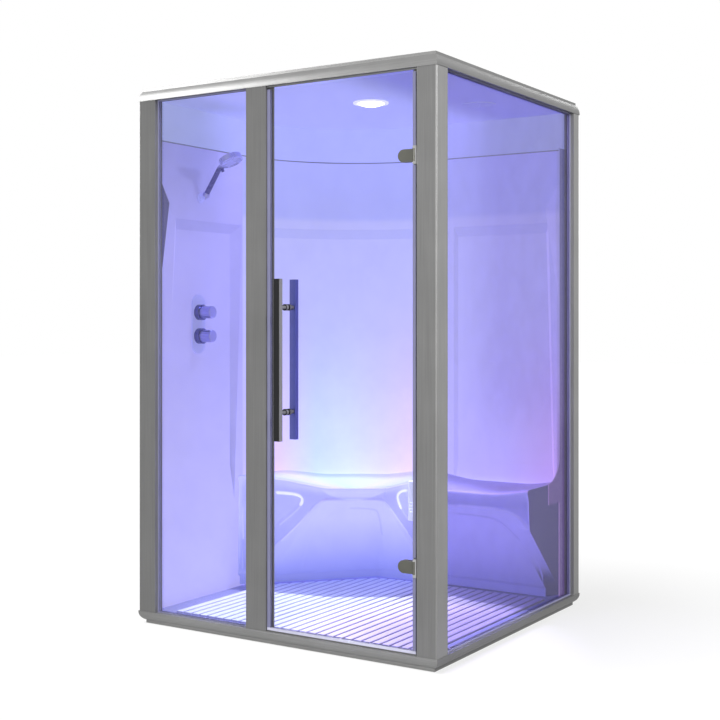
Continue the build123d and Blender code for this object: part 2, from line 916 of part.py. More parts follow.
def seat_block(levels, low_x, high_x, rounded):
    """Seat before it is hollowed. levels are (height, front outline) from its foot to its edge."""
    outer = levels + ((seat_height + bolster_rise, levels[-1][1]),)
    kick = recessed_foot(levels, low_x, high_x)
    body = seat_body(outer, seat_gap, 0, low_x, high_x, rounded)
    return body + seat_body(kick, seat_gap, 0, low_x, high_x, rounded)


def seat_cavity(levels, low_x, high_x, rounded):
    """Hollow under a seat, open to the tray."""
    back = strip_channel + seat_wall
    low = low_x + seat_wall
    high = high_x - seat_wall
    inner = levels[:-1] + ((seat_height - seat_wall, levels[-2][1]),)
    kick = list(recessed_foot(levels, low_x, high_x))
    kick[0] = (tray_top - overrun, kick[0][1])
    upper = seat_body(inner, back, kick_setback + seat_wall, low, high, rounded)
    return upper + seat_body(kick, back, seat_wall, low, high, rounded)


def dish(middle, facing):
    """Tool that dishes a seat's top: flat in the middle, rising to the bolsters at both sides."""
    reach = 2 * bolster_run + dish_half_width
    high = seat_height + (reach - dish_half_width) * bolster_rise / bolster_run
    section = [
        (-reach, high),
        (-dish_half_width, seat_height),
        (dish_half_width, seat_height),
        (reach, high),
        (reach, high + cabin_height),
        (-reach, high + cabin_height),
    ]
    length = cabin_depth
    start = Vector(*middle) + Vector(*facing) * (length / 2)
    back = Vector(-facing[0], -facing[1], 0)
    across = Vector(0, 0, 1).cross(back)
    plane = Plane(origin=(start.X, start.Y, 0), x_dir=across, z_dir=back)
    return extrude(plane * make_face(Polyline(*section, close=True)), length)


def seats():
    """Two moulded seats, the light strips in the channel behind them and the steam parts."""
    split_left = seat_split - seat_gap / 2
    split_right = seat_split + seat_gap / 2
    left_x = room_left + seat_gap
    right_x = room_right - seat_gap
    channel_low = seat_height - strip_channel_depth
    channel = room_ring(-overrun, strip_channel, channel_low, cabin_height)
    right_middle = ((seat_split + room_right) / 2, room_back)
    left_levels = (
        (kick_height, room_points(left_seat_foot_shares)),
        (fascia_low, room_points(left_seat_fascia_shares)),
        (seat_height, room_points(left_seat_edge_shares)),
    )
    right_levels = (
        (kick_height, room_points(right_seat_foot_shares)),
        (apron_bend, room_points(right_seat_bend_shares)),
        (fascia_low, room_points(right_seat_fascia_shares)),
        (seat_height, room_points(right_seat_edge_shares)),
    )
    left = seat_block(left_levels, left_x, split_left, True)
    left -= dish(room_point(left_seat_middle_shares), left_seat_facing)
    right = seat_block(right_levels, split_right, right_x, False) - dish(right_middle, (0, -1))
    steam_outlet(right)
    left = left - seat_cavity(left_levels, left_x, split_left, True) - channel
    right = right - seat_cavity(right_levels, split_right, right_x, False) - channel
    pipe_hole = steam_pipe_radius + fit_gap
    pipe_start = (cowl_x, cowl_front, steam_pipe_height)
    right -= rod(pipe_start, (cowl_x, room_back - strip_channel, steam_pipe_height), pipe_hole)
    write("seat_left", left)
    write("seat_right", right)

    strip = room_ring(strip_gap, strip_channel - strip_gap, channel_low, channel_low + strip_height)
    end = strip_channel + seat_wall
    strip -= block((0, 0, 0), (arc_x, arc_y + end, cabin_height))
    strip -= block((room_right - end, 0, 0), (cabin_width, cabin_depth, cabin_height))
    write("seat_light_strip", strip)
    steam_supply()


def steam_outlet(seat):
    """Cowl between the seats with slots in its front; its back follows the right seat's front."""
    half = cowl_width / 2
    cowl = block(
        (cowl_x - half, cowl_front, seat_height - cowl_drop),
        (cowl_x + half, cowl_back, seat_height + cowl_rise),
    )
    front_edges = cowl.edges().filter_by(Axis.Z).sort_by(Axis.Y)[:2]
    cowl = fillet(front_edges, cowl_radius)
    cowl -= seat
    pipe_start = (cowl_x, cowl_front + cowl_slot_depth / 2, steam_pipe_height)
    cowl -= rod(pipe_start, (cowl_x, cowl_back, steam_pipe_height), steam_pipe_radius + fit_gap)
    for i in range(cowl_slot_count):
        z = steam_pipe_height + (i - (cowl_slot_count - 1) / 2) * cowl_slot_pitch
        cowl -= block(
            (cowl_x - cowl_slot_length / 2, cowl_front - overrun, z - cowl_slot_height / 2),
            (cowl_x + cowl_slot_length / 2, cowl_front + cowl_slot_depth, z + cowl_slot_height / 2),
        )
    solids = cowl.solids().sort_by(SortBy.VOLUME)
    write("steam_outlet_cowl", solids[-1])


def steam_supply():
    """Steam generator on the back of the right seat's hollow, and its pipe to the outlet cowl."""
    back = room_back - strip_channel - seat_wall
    generator_left = room_left + generator_left_share * room_width
    generator_right = room_left + generator_right_share * room_width
    generator_depth = generator_depth_share * room_depth
    body = block(
        (generator_left, back - generator_depth, generator_low),
        (generator_right, back, seat_height - generator_top_gap),
    )
    body = fillet(body.edges().filter_by(Axis.Z), generator_radius)
    write("steam_generator", offset(body, -generator_wall, openings=body.faces().sort_by(Axis.Z)[0]))
    pipe_y = back - generator_depth / 2
    inlet_y = cowl_front + cowl_slot_depth
    path = FilletPolyline(
        (generator_left, pipe_y, steam_pipe_height),
        (cowl_x, pipe_y, steam_pipe_height),
        (cowl_x, inlet_y, steam_pipe_height),
        radius=steam_pipe_bend,
    )
    end = Plane(origin=path @ 0, z_dir=path % 0)
    ring = Circle(steam_pipe_radius) - Circle(steam_pipe_radius - steam_pipe_wall)
    write("steam_pipe", sweep(end * ring, path=path))


# Ceiling fittings and roof


def ceiling_fittings():
    """Lamp with its trim ring and domed lens, and the round grille."""
    spot = (lamp_x, lamp_y)
    ring_low = ceiling_height - lamp_ring_drop
    lens_radius = lamp_body_radius - lamp_body_wall
    body_top = ceiling_height + lamp_body_rise
    body = rod((*spot, ring_low), (*spot, ceiling_height), lamp_ring_radius)
    body += rod((*spot, ring_low), (*spot, body_top), lamp_body_radius)
    body -= rod((*spot, ring_low - overrun), (*spot, body_top - lamp_body_wall), lens_radius)
    write("lamp_housing", body)
    drop = lamp_lens_drop
    sphere = (lens_radius ** 2 + drop ** 2) / (2 * drop)
    dome = Pos(*spot, ring_low - drop + sphere) * Sphere(sphere)
    tube = rod((*spot, ring_low - drop), (*spot, ring_low + lens_seat), lens_radius)
    write("lamp_lens", tube & (dome + rod((*spot, ring_low), (*spot, ring_low + lens_seat), lens_radius)))
    centre = (grille_x, grille_y)
    grille = rod((*centre, ceiling_height - grille_drop), (*centre, ceiling_height), grille_radius)
    grille -= rod((*centre, 0), (*centre, cabin_height), grille_hole_radius)
    for i in range(1, grille_ring_count + 1):
        count = grille_holes_per_ring * i
        for k in range(count):
            turn = 2 * math.pi * k / count
            x = grille_x + i * grille_ring_pitch * math.cos(turn)
            y = grille_y + i * grille_ring_pitch * math.sin(turn)
            grille -= rod((x, y, seam_height), (x, y, cabin_height), grille_hole_radius)
    write("ceiling_grille", grille)


def roof_fittings():
    """Flat junction box and cable gland on the roof sheet."""
    low = roof_panel_low + panel_thickness
    left = cabin_width - control_box_right_inset
    front = cabin_depth - control_box_back_inset
    box = block(
        (left, front, low),
        (left + control_box_width, front + control_box_depth, low + control_box_height),
    )
    write("control_box", fillet(box.edges().filter_by(Axis.Z), control_box_radius))
    spot = (gland_x, gland_y)
    tail = low - gland_tail
    gland = rod((*spot, low), (*spot, low + gland_flange_height), gland_flange_radius)
    gland += rod((*spot, low), (*spot, low + gland_height), gland_radius)
    gland += rod((*spot, tail), (*spot, low), gland_thread_radius)
    write("cable_gland", gland - rod((*spot, 0), (*spot, cabin_height + overrun), gland_bore))


# Mixer


def valve_heights():
    """Heights of the two knobs."""
    return (mixer_z + knob_spacing / 2, mixer_z - knob_spacing / 2)


def inlet_heights():
    """Heights of the hot and cold water inlets."""
    return (mixer_z + inlet_spacing / 2, mixer_z - inlet_spacing / 2)


def mixer():
    """Mixer on the floor of the left wall's recess, and the water pipe up to the shower."""
    plate_front = wall_face + mixer_plate_thickness
    boss_end = plate_front + boss_length
    write("mixer_plate", mixer_plate(plate_front))
    write("mixer_body", mixer_body(plate_front, boss_end))
    upper, lower = valve_heights()
    write("temperature_knob", knob(upper, boss_end, True))
    write("flow_knob", knob(lower, boss_end, False))
    pipe = rod((pipe_x, mixer_y, mixer_z + valve_height / 2), (pipe_x, mixer_y, shower_z), pipe_radius)
    write("water_pipe", pipe - shower_tail())


def mixer_plate(front):
    """Wall plate with round ends and a hole for each knob's boss."""
    half = mixer_plate_width / 2
    low = mixer_z - (mixer_plate_height - mixer_plate_width) / 2
    high = mixer_z + (mixer_plate_height - mixer_plate_width) / 2
    plate = block((wall_face, mixer_y - half, low), (front, mixer_y + half, high))
    for z in (low, high):
        plate += rod((wall_face, mixer_y, z), (front, mixer_y, z), half)
    for z in valve_heights():
        plate -= rod((0, mixer_y, z), (cabin_width, mixer_y, z), boss_sleeve_radius + fit_gap)
    return plate


def mixer_body(plate_front, boss_end):
    """Valve body behind the plate with its bosses, spindles and water inlets."""
    valve_left = valve_right - valve_depth
    body = block(
        (valve_left, mixer_y - valve_width / 2, mixer_z - valve_height / 2),
        (valve_right, mixer_y + valve_width / 2, mixer_z + valve_height / 2),
    )
    for z in valve_heights():
        body += rod((valve_right, mixer_y, z), (boss_end, mixer_y, z), boss_sleeve_radius)
        body += rod((plate_front, mixer_y, z), (boss_end, mixer_y, z), boss_radius)
        body += rod((boss_end, mixer_y, z), (boss_end + spindle_length, mixer_y, z), spindle_radius)
    for z in inlet_heights():
        body += rod((panel_setback, mixer_y, z), (valve_left, mixer_y, z), inlet_outer_radius)
        body -= rod((0, mixer_y, z), (panel_setback + inlet_bore_length, mixer_y, z), inlet_bore_radius)
    return body


def knob(z, seat, button):
    """Fluted knob with a bore for its spindle; the temperature knob has a stop button."""
    start = seat + knob_gap
    end = start + knob_length
    body = rod((start, mixer_y, z), (end, mixer_y, z), knob_radius)
    body = chamfer(body.edges().sort_by(Axis.X)[-1], knob_edge)
    for i in range(knob_flute_count):
        turn = 2 * math.pi * i / knob_flute_count
        reach = knob_radius + knob_flute_radius / 2
        y = mixer_y + reach * math.cos(turn)
        flute_z = z + reach * math.sin(turn)
        flute_start = start + knob_length / 3
        body -= rod((flute_start, y, flute_z), (end + overrun, y, flute_z), knob_flute_radius)
    if button:
        foot = z + knob_radius - knob_edge
        middle = start + knob_length / 6
        head = z + knob_radius + knob_button_height
        body += rod((middle, mixer_y, foot), (middle, mixer_y, head), knob_button_radius)
    bore_end = seat + spindle_length + knob_gap
    return body - rod((start - overrun, mixer_y, z), (bore_end, mixer_y, z), spindle_radius + hair)


# Hand shower


def leaning(start, lean_degrees, distance, out=0.0):
    """Point along a line that leans forward from upright by an angle, and out at right angles to it."""
    lean = math.radians(lean_degrees)
    x = start[0] + distance * math.sin(lean) + out * math.cos(lean)
    z = start[2] + distance * math.cos(lean) - out * math.sin(lean)
    return (x, mixer_y, z)


def along_handle(distance):
    """Point on the handle's axis at a distance from the holder's pivot."""
    return leaning((pivot_x, mixer_y, shower_z), handset_lean_degrees, distance)


def along_head(distance, out=0.0):
    """Point from the top of the handle towards the middle of the head, and out towards its face."""
    return leaning(along_handle(handset_length), head_lean_degrees, distance, out)


def shower_tail():
    """Tail of the shower's elbow behind the wall, where the water pipe meets it."""
    return rod((pipe_x - neck_radius, mixer_y, shower_z), (room_left, mixer_y, shower_z), neck_radius)


def fork_ears():
    """Outer ends of the fork's two ears, on the line of the holder's pivot."""
    ear = fork_gap / 2 + fork_ear
    return (pivot_x, mixer_y - ear, shower_z), (pivot_x, mixer_y + ear, shower_z)


def shower():
    """Wall elbow, tilting holder, handset and spray selector."""
    write("shower_elbow", shower_elbow())
    write("shower_holder", shower_holder())
    handset(holder_start + socket_floor + fit_gap, holder_start + holder_length + socket_floor)


def shower_elbow():
    """Rosette and neck out of the wall, with a fork and pin for the holder."""
    rosette_face = room_left + rosette_thickness
    fork_back = pivot_x - fork_radius
    left_ear, right_ear = fork_ears()
    elbow = rod((room_left, mixer_y, shower_z), (rosette_face, mixer_y, shower_z), rosette_radius)
    elbow += rod((rosette_face, mixer_y, shower_z), (fork_back, mixer_y, shower_z), neck_radius)
    elbow += shower_tail()
    fork = rod(left_ear, right_ear, fork_radius)
    fork += block(
        (fork_back - fork_ear, left_ear[1], shower_z - fork_radius),
        (pivot_x, right_ear[1], shower_z + fork_radius),
    )
    slot_left = mixer_y - fork_gap / 2
    slot_right = mixer_y + fork_gap / 2
    fork -= rod((pivot_x, slot_left, shower_z), (pivot_x, slot_right, shower_z), fork_radius + 2 * fit_gap)
    fork -= block(
        (pivot_x - fork_gap / 2, slot_left, shower_z - fork_radius),
        (pivot_x + fork_radius, slot_right, shower_z + fork_radius),
    )
    return elbow + fork + rod(left_ear, right_ear, pivot_pin_radius)


def shower_holder():
    """Lug on the fork's pin and a socket for the handle's foot."""
    lug_half = fork_gap / 2 - fit_gap
    socket_start = holder_start + socket_floor
    holder_end = holder_start + holder_length
    holder = rod(
        (pivot_x, mixer_y - lug_half, shower_z),
        (pivot_x, mixer_y + lug_half, shower_z),
        fork_radius - fit_gap,
    )
    holder += rod(along_handle(0), along_handle(socket_start), lug_half)
    holder += rod(along_handle(holder_start), along_handle(holder_end), holder_radius)
    socket_radius = handset_foot_radius + fit_gap
    holder -= rod(along_handle(socket_start), along_handle(holder_end + overrun), socket_radius)
    return holder - rod(*fork_ears(), pivot_pin_radius + hair)


def handset(foot, collar):
    """Handle that tapers from a collar above the holder, bent neck, round head and the spray selector."""
    body = rod(along_handle(foot), along_handle(collar), handset_foot_radius)
    axis = Vector(*along_handle(handset_length)) - Vector(*along_handle(collar))
    grip = Cone(handset_foot_radius, handset_neck_radius, axis.length,
                align=(Align.CENTER, Align.CENTER, Align.MIN))
    body += Plane(origin=along_handle(collar), z_dir=axis) * grip
    body += Pos(*along_handle(handset_length)) * Sphere(handset_neck_radius)
    body += rod(along_head(0), along_head(head_place), handset_neck_radius)
    half = head_thickness / 2
    face = along_head(head_place, half - head_face_depth)
    body += rod(along_head(head_place, -half), along_head(head_place, half), head_radius)
    body -= rod(face, along_head(head_place, head_thickness), head_face_radius)
    spindle_end = selector_boss + selector_length - overrun
    body += rod(along_head(selector_place), along_head(selector_place, selector_boss), selector_boss_radius)
    body += rod(along_head(selector_place), along_head(selector_place, spindle_end), selector_spindle)
    write("shower_handset", body)
    selector = rod(
        along_head(selector_place, selector_boss + fit_gap),
        along_head(selector_place, selector_boss + selector_length),
        selector_radius,
    )
    bore_end = along_head(selector_place, spindle_end + fit_gap)
    write("spray_selector", selector - rod(along_head(selector_place), bore_end, selector_spindle + hair))


# Door


def door():
    """Glass with its holes, the edge seals and the strips on the frame above and below."""
    glass = block((door_left, door_setback, door_bottom), (door_right, door_back, door_top))
    glass = fillet(glass.edges().filter_by(Axis.Y), door_corner_radius)
    pane = glass
    for x, z in clamp_screw_spots():
        glass -= rod((x, 0, z), (x, rail_depth, z), clamp_screw_radius + fit_gap)
    for z in standoff_heights():
        glass -= rod((handle_x, 0, z), (handle_x, rail_depth, z), standoff_stud_radius + fit_gap)
    write("door_glass", glass)

    front = door_setback - seal_wrap
    back = door_back + seal_wrap
    lower = door_bottom + seal_overlap
    strike = block(
        (door_left - strike_seal_reach, front, lower),
        (door_left + seal_overlap, back, door_top),
    )
    hinge_side = block(
        (door_right - seal_overlap, front, lower),
        (door_right + hinge_seal_reach, back, door_top),
    )
    hinge_side -= pane
    for z in hinge_heights:
        half = leaf_height / 2 + overrun
        hinge_side -= block((clamp_left, 0, z - half), (hinge_face, rail_depth, z + half))
    write("door_edge_seals", strike - pane, *hinge_side.solids())
    sweep_strip = block(
        (door_left - strike_seal_reach, front, door_bottom - sweep_reach),
        (door_right + hinge_seal_reach, back, lower),
    )
    write("door_sweep_seal", sweep_strip - pane)
    threshold = block(
        (mullion_right, door_setback, rail_height),
        (hinge_face, door_back, rail_height + threshold_height),
    )
    head = block(
        (mullion_right, door_setback, top_rail_low - head_strip_height),
        (hinge_face, door_back, top_rail_low),
    )
    write("door_frame_strips", threshold, head)


def clamp_screw_spots():
    """Places of the screws through the glass clamps."""
    return [(x, z) for x in clamp_screw_places for z in hinge_heights]


def standoff_heights():
    """Heights of the handle stand-offs."""
    return (handle_middle - standoff_spacing / 2, handle_middle + standoff_spacing / 2)


def clamp_plate(z, right, front):
    """Hinge plate on the glass with a rounded left end."""
    half = clamp_height / 2
    centre = clamp_left + half
    plate = block((centre, front, z - half), (right, front + clamp_thickness, z + half))
    return plate + rod((centre, front, z), (centre, front + clamp_thickness, z), half)


def hinge_leaf(z):
    """Leaf on the post's face with a knuckle above and a knuckle below the clamp's barrel."""
    r = barrel_radius
    reach = leaf_height / 2
    leaf = block((hinge_axis_x + r, leaf_front, z - reach), (hinge_face, leaf_back, z + reach))
    for side in (-1, 1):
        near = z + side * (clamp_height / 2 + barrel_gap)
        far = z + side * reach
        knuckle = rod((hinge_axis_x, hinge_axis_y, near), (hinge_axis_x, hinge_axis_y, far), r)
        knuckle += block(
            (hinge_axis_x, hinge_axis_y - r, min(near, far)),
            (hinge_axis_x + r, hinge_axis_y + r, max(near, far)),
        )
        leaf += knuckle
    return leaf


def hinge_clamps(z):
    """Outer clamp with the barrel, and inner clamp, both bored for the screws; and the screws."""
    barrel_low = (hinge_axis_x, hinge_axis_y, z - clamp_height / 2)
    barrel_high = (hinge_axis_x, hinge_axis_y, z + clamp_height / 2)
    outer = clamp_plate(z, hinge_axis_x, door_setback - clamp_thickness)
    outer += rod(barrel_low, barrel_high, barrel_radius)
    inner = clamp_plate(z, door_right - clamp_end_gap, door_back)
    screws = []
    for x in clamp_screw_places:
        tip = (x, door_setback - clamp_thickness / 2, z)
        head_start = (x, door_back + clamp_thickness - clamp_screw_head_depth, z)
        head_end = (x, door_back + clamp_thickness, z)
        screw = rod(tip, head_end, clamp_screw_radius) + rod(head_start, head_end, clamp_screw_head)
        outer -= screw
        inner -= screw
        screws.append(screw)
    return outer, inner, screws


def hinges():
    """Two hinges: clamps on the glass, a leaf on the post, a pin through both and the clamp screws."""
    clamps = []
    leaves = []
    pins = []
    screws = []
    for z in hinge_heights:
        pin_low = (hinge_axis_x, hinge_axis_y, z - leaf_height / 2)
        pin_high = (hinge_axis_x, hinge_axis_y, z + leaf_height / 2)
        bore = rod(pin_low, pin_high, hinge_pin_radius + hair)
        outer, inner, clamp_screws = hinge_clamps(z)
        clamps += [outer - bore, inner]
        leaves.append(hinge_leaf(z) - bore)
        pins.append(rod(pin_low, pin_high, hinge_pin_radius))
        screws += clamp_screws
    write("hinge_glass_clamps", *clamps)
    write("hinge_post_leaves", *leaves)
    write("hinge_pins", *pins)
    write("hinge_clamp_screws", *screws)


def handle_bar(front):
    """Square pull bar with eased edges."""
    bar = block(
        (handle_x - handle_width / 2, front, handle_middle - handle_length / 2),
        (handle_x + handle_width / 2, front + handle_depth, handle_middle + handle_length / 2),
    )
    return chamfer(bar.edges().filter_by(Axis.Z), handle_edge)


def handles():
    """Pull bars outside and inside on stand-offs that pass through the glass."""
    outer_back = handle_depth - handle_reach
    inner_front = door_back + handle_inner_gap
    write("door_handle_outer", handle_bar(-handle_reach))
    write("door_handle_inner", handle_bar(inner_front))
    standoffs = []
    for z in standoff_heights():
        spot = rod((handle_x, outer_back, z), (handle_x, inner_front, z), standoff_stud_radius)
        for glass_face, bar_face in ((door_setback, outer_back), (door_back, inner_front)):
            way = math.copysign(standoff_collar_length, bar_face - glass_face)
            spot += rod((handle_x, glass_face, z), (handle_x, bar_face, z), standoff_radius)
            spot += rod((handle_x, glass_face, z), (handle_x, glass_face + way, z), standoff_collar_radius)
        standoffs.append(spot)
    write("handle_standoffs", *standoffs)


os.makedirs("parts", exist_ok=True)
rails()
posts()
windows()
outer_panels()
wall_liners()
ceiling()
floor_parts()
seats()
ceiling_fittings()
roof_fittings()
mixer()
shower()
door()
hinges()
handles()
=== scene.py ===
import math

import bmesh
import bpy
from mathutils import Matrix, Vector

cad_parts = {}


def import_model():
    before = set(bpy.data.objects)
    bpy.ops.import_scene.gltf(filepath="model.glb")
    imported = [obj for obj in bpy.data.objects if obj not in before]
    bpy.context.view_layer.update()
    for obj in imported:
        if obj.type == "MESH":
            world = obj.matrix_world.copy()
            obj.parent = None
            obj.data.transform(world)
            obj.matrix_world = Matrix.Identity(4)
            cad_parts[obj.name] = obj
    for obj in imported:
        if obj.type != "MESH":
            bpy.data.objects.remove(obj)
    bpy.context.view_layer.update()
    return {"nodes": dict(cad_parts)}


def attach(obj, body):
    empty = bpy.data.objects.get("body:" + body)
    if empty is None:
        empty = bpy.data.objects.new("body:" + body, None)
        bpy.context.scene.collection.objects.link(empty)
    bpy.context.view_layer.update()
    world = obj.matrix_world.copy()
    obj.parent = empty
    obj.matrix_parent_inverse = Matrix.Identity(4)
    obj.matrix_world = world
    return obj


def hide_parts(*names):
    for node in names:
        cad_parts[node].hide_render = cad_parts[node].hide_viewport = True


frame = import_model()
nodes = frame["nodes"]

# The CAD is drawn from the cabin's front left bottom corner in millimetres. The shared frame is in
# metres, and ORIGIN is where its own zero lies in the cabin's plan.
ORIGIN = (685.0, 609.0)


def at(x, y, z):
    """Shared-frame point of a place given in the cabin's own millimetres."""
    return Vector(((x - ORIGIN[0]) / 1000, (y - ORIGIN[1]) / 1000, z / 1000))


# Materials


class Tree:
    """A material's node tree, with short calls for the nodes it needs."""

    def __init__(self, name):
        self.material = bpy.data.materials.new(name)
        self.material.use_nodes = True
        self.nodes = self.material.node_tree.nodes
        self.links = self.material.node_tree.links
        self.nodes.clear()
        self.output = self.nodes.new("ShaderNodeOutputMaterial")

    def add(self, kind, settings=None, **inputs):
        made = self.nodes.new("ShaderNode" + kind)
        for key, value in (settings or {}).items():
            setattr(made, key, value)
        for key, value in inputs.items():
            self.put(made, key.replace("_", " "), value)
        return made

    def put(self, made, key, value):
        socket = made.inputs[int(key[1:])] if key[0] == "i" and key[1:].isdigit() else made.inputs[key]
        if hasattr(value, "outputs"):
            value = value.outputs[0]
        if isinstance(value, bpy.types.NodeSocket):
            self.links.new(value, socket)
        else:
            socket.default_value = value

    def math(self, operation, *values, clamp=False):
        made = self.add("Math", {"operation": operation, "use_clamp": clamp})
        for i, value in enumerate(values):
            self.put(made, f"i{i}", value)
        return made.outputs[0]

    def ramp(self, fac, *stops):
        made = self.add("ValToRGB")
        elements = made.color_ramp.elements
        while len(elements) < len(stops):
            elements.new(0.5)
        for element, (place, colour) in zip(elements, stops):
            element.position = place
            element.color = (*colour, 1)
        self.put(made, "Fac", fac)
        return made.outputs[0]

    def mix(self, fac, a, b, blend="MIX"):
        made = self.add("Mix", {"data_type": "RGBA", "blend_type": blend})
        self.put(made, "i0", fac)
        for i, value in ((6, a), (7, b)):
            if isinstance(value, tuple):
                value = (*value, 1)
            self.put(made, f"i{i}", value)
        return made.outputs[2]

    def place(self, scale=(1, 1, 1)):
        coords = self.add("TexCoord").outputs["Object"]
        return self.add("Mapping", Vector=coords, Scale=scale).outputs[0]

    def noise(self, scale, detail=3.0, rough=0.5, vector=None):
        made = self.add("TexNoise", Scale=scale, Detail=detail, Roughness=rough)
        self.put(made, "Vector", vector if vector is not None else self.place())
        return made.outputs["Fac"]

    def bump(self, height, strength, distance):
        return self.add("Bump", Strength=strength, Distance=distance, Height=height).outputs[0]

    def ease(self, value, start, end, **limits):
        """Soft step from 0 at start to 1 at end."""
        settings = {"interpolation_type": "SMOOTHSTEP"}
        return self.add("MapRange", settings, Value=value, i1=start, i2=end, **limits).outputs[0]

    def normal_parts(self):
        return self.add("SeparateXYZ", Vector=self.add("NewGeometry").outputs["Normal"]).outputs

    def place_parts(self):
        return self.add("SeparateXYZ", Vector=self.add("TexCoord").outputs["Object"]).outputs

    def surface(self, shader):
        self.links.new(shader.outputs[0], self.output.inputs["Surface"])
        return self.material


def shade(colour, factor):
    """A colour made lighter or darker."""
    return tuple(min(1.0, c * factor) for c in colour[:3])


ANODISED_METALLIC = 0.4
ANODISED_ROUGHNESS = 0.42
BRUSHED_ACROSS = 260.0
BRUSHED_ALONG = 3.0


def aluminium(name, colour, along):
    """Anodised extrusion: fine brushing along its length over a faint cloudiness."""
    t = Tree(name)
    stretch = [BRUSHED_ACROSS] * 3
    stretch[along] = BRUSHED_ALONG
    grain = t.noise(1.0, 4.0, 0.6, t.place(stretch))
    cloud = t.noise(5.0, 3.0)
    speck = t.noise(420.0, 2.0)
    lively = t.math("ADD", t.math("MULTIPLY", grain, 0.5), t.math("MULTIPLY", cloud, 0.3))
    lively = t.math("ADD", lively, t.math("MULTIPLY", speck, 0.2))
    base = t.ramp(lively, (0.3, shade(colour, 0.8)), (0.7, shade(colour, 1.2)))
    roughness = t.add("MapRange", Value=grain, i1=0.2, i2=0.8,
                      i3=ANODISED_ROUGHNESS - 0.06, i4=ANODISED_ROUGHNESS + 0.08)
    shader = t.add("BsdfPrincipled", Base_Color=base, Metallic=ANODISED_METALLIC, Roughness=roughness)
    t.put(shader, "Normal", t.bump(grain, 0.12, 0.0004))
    return t.surface(shader)


def plastic(name, colour, rough, pebble, scale, spread=0.05):
    """Plastic, rubber or paint with a faint mottling of the given spread and a pebbled skin."""
    t = Tree(name)
    cloud = t.noise(14.0, 3.0)
    fine = t.noise(scale, 2.0)
    base = t.ramp(cloud, (0.3, shade(colour, 1 - spread)), (0.7, shade(colour, 1 + spread)))
    roughness = t.add("MapRange", Value=fine, i1=0.2, i2=0.8, i3=rough - 0.05, i4=rough + 0.07)
    shader = t.add("BsdfPrincipled", Base_Color=base, Roughness=roughness)
    t.put(shader, "Normal", t.bump(fine, pebble, 0.0003))
    return t.surface(shader)


METAL_SPREAD = 0.06


def metal(name, colour, rough, grain=(200, 200, 200), depth=0.05, metallic=1.0):
    """Plated or brushed metal with faint smears in its polish."""
    t = Tree(name)
    fine = t.noise(1.0, 3.0, 0.6, t.place(grain))
    smear = t.noise(22.0, 4.0)
    base = t.ramp(smear, (0.3, shade(colour, 1 - METAL_SPREAD)), (0.7, shade(colour, 1 + METAL_SPREAD)))
    roughness = t.add("MapRange", Value=smear, i1=0.25, i2=0.75, i3=rough - 0.04, i4=rough + 0.06)
    shader = t.add("BsdfPrincipled", Base_Color=base, Metallic=metallic, Roughness=roughness)
    t.put(shader, "Normal", t.bump(fine, depth, 0.0002))
    return t.surface(shader)


def glass(name, tint, gloss):
    """Flat toughened pane: tinted see-through with a Fresnel reflection and faint water marks."""
    t = Tree(name)
    marks = t.noise(9.0, 4.0, 0.6)
    clear = t.ramp(marks, (0.3, shade(tint, 0.985)), (0.7, shade(tint, 1.01)))
    through = t.add("BsdfTransparent", Color=clear)
    mirror = t.add("BsdfGlossy", Color=(1, 1, 1, 1), Roughness=0.02)
    fresnel = t.math("MULTIPLY", t.add("Fresnel", IOR=1.45).outputs[0], gloss)
    mixed = t.add("MixShader")
    t.put(mixed, "i0", fresnel)
    t.put(mixed, "i1", through)
    t.put(mixed, "i2", mirror)
    return t.surface(mixed)


# Coloured light of the cabin, painted into the mouldings' glow. The strips behind the seats wash the walls
# with this painted light from WASH_LOW, where it is full, to WASH_HIGH, where it has gone. Its hues run
# round the axis of the rounded corner.
CORNER_AXIS = at(650, 620, 0)
WASH_LOW = 0.50
WASH_HIGH = 1.85
WASH_FALLOFF = 2.4
WASH_HUES = (
    (0.0, (0.38, 0.35, 0.55)),
    (0.11, (0.72, 0.50, 0.62)),
    (0.22, (0.50, 0.65, 0.62)),
    (0.30, (0.60, 0.70, 0.63)),
    (0.38, (0.64, 0.60, 0.62)),
    (0.45, (0.74, 0.56, 0.61)),
    (0.56, (0.46, 0.43, 0.62)),
    (0.68, (0.42, 0.35, 0.60)),
    (0.75, (0.44, 0.26, 0.47)),
)
# The painted glow near the floor, darker at a seat's foot as painted shade, gives way to the moulding's own
# painted glow between these heights.
FOOT_LOW = 0.06
FOOT_HIGH = 0.36
# Joint between the walls and the ceiling module, along which a thin line of painted shade is drawn.
SEAM_HEIGHT = 1.9492


def bearing(t, x, y):
    """Direction round the corner's axis, in half turns."""
    run = t.math("SUBTRACT", CORNER_AXIS.x, x)
    rise = t.math("SUBTRACT", y, CORNER_AXIS.y)
    return t.math("DIVIDE", t.math("ARCTAN2", rise, run), math.pi)


def wash_share(t, washed, z, up):
    """How much of a moulding's painted glow has the hues of the strips: walls by height, seats on their
    tops.
    """
    if washed == "walls":
        lift = t.ease(z, WASH_LOW, WASH_HIGH, i3=1.0, i4=0.0)
        return t.math("POWER", lift, WASH_FALLOFF)
    return t.ease(up, 0.25, 0.75) if washed == "tops" else 0.0


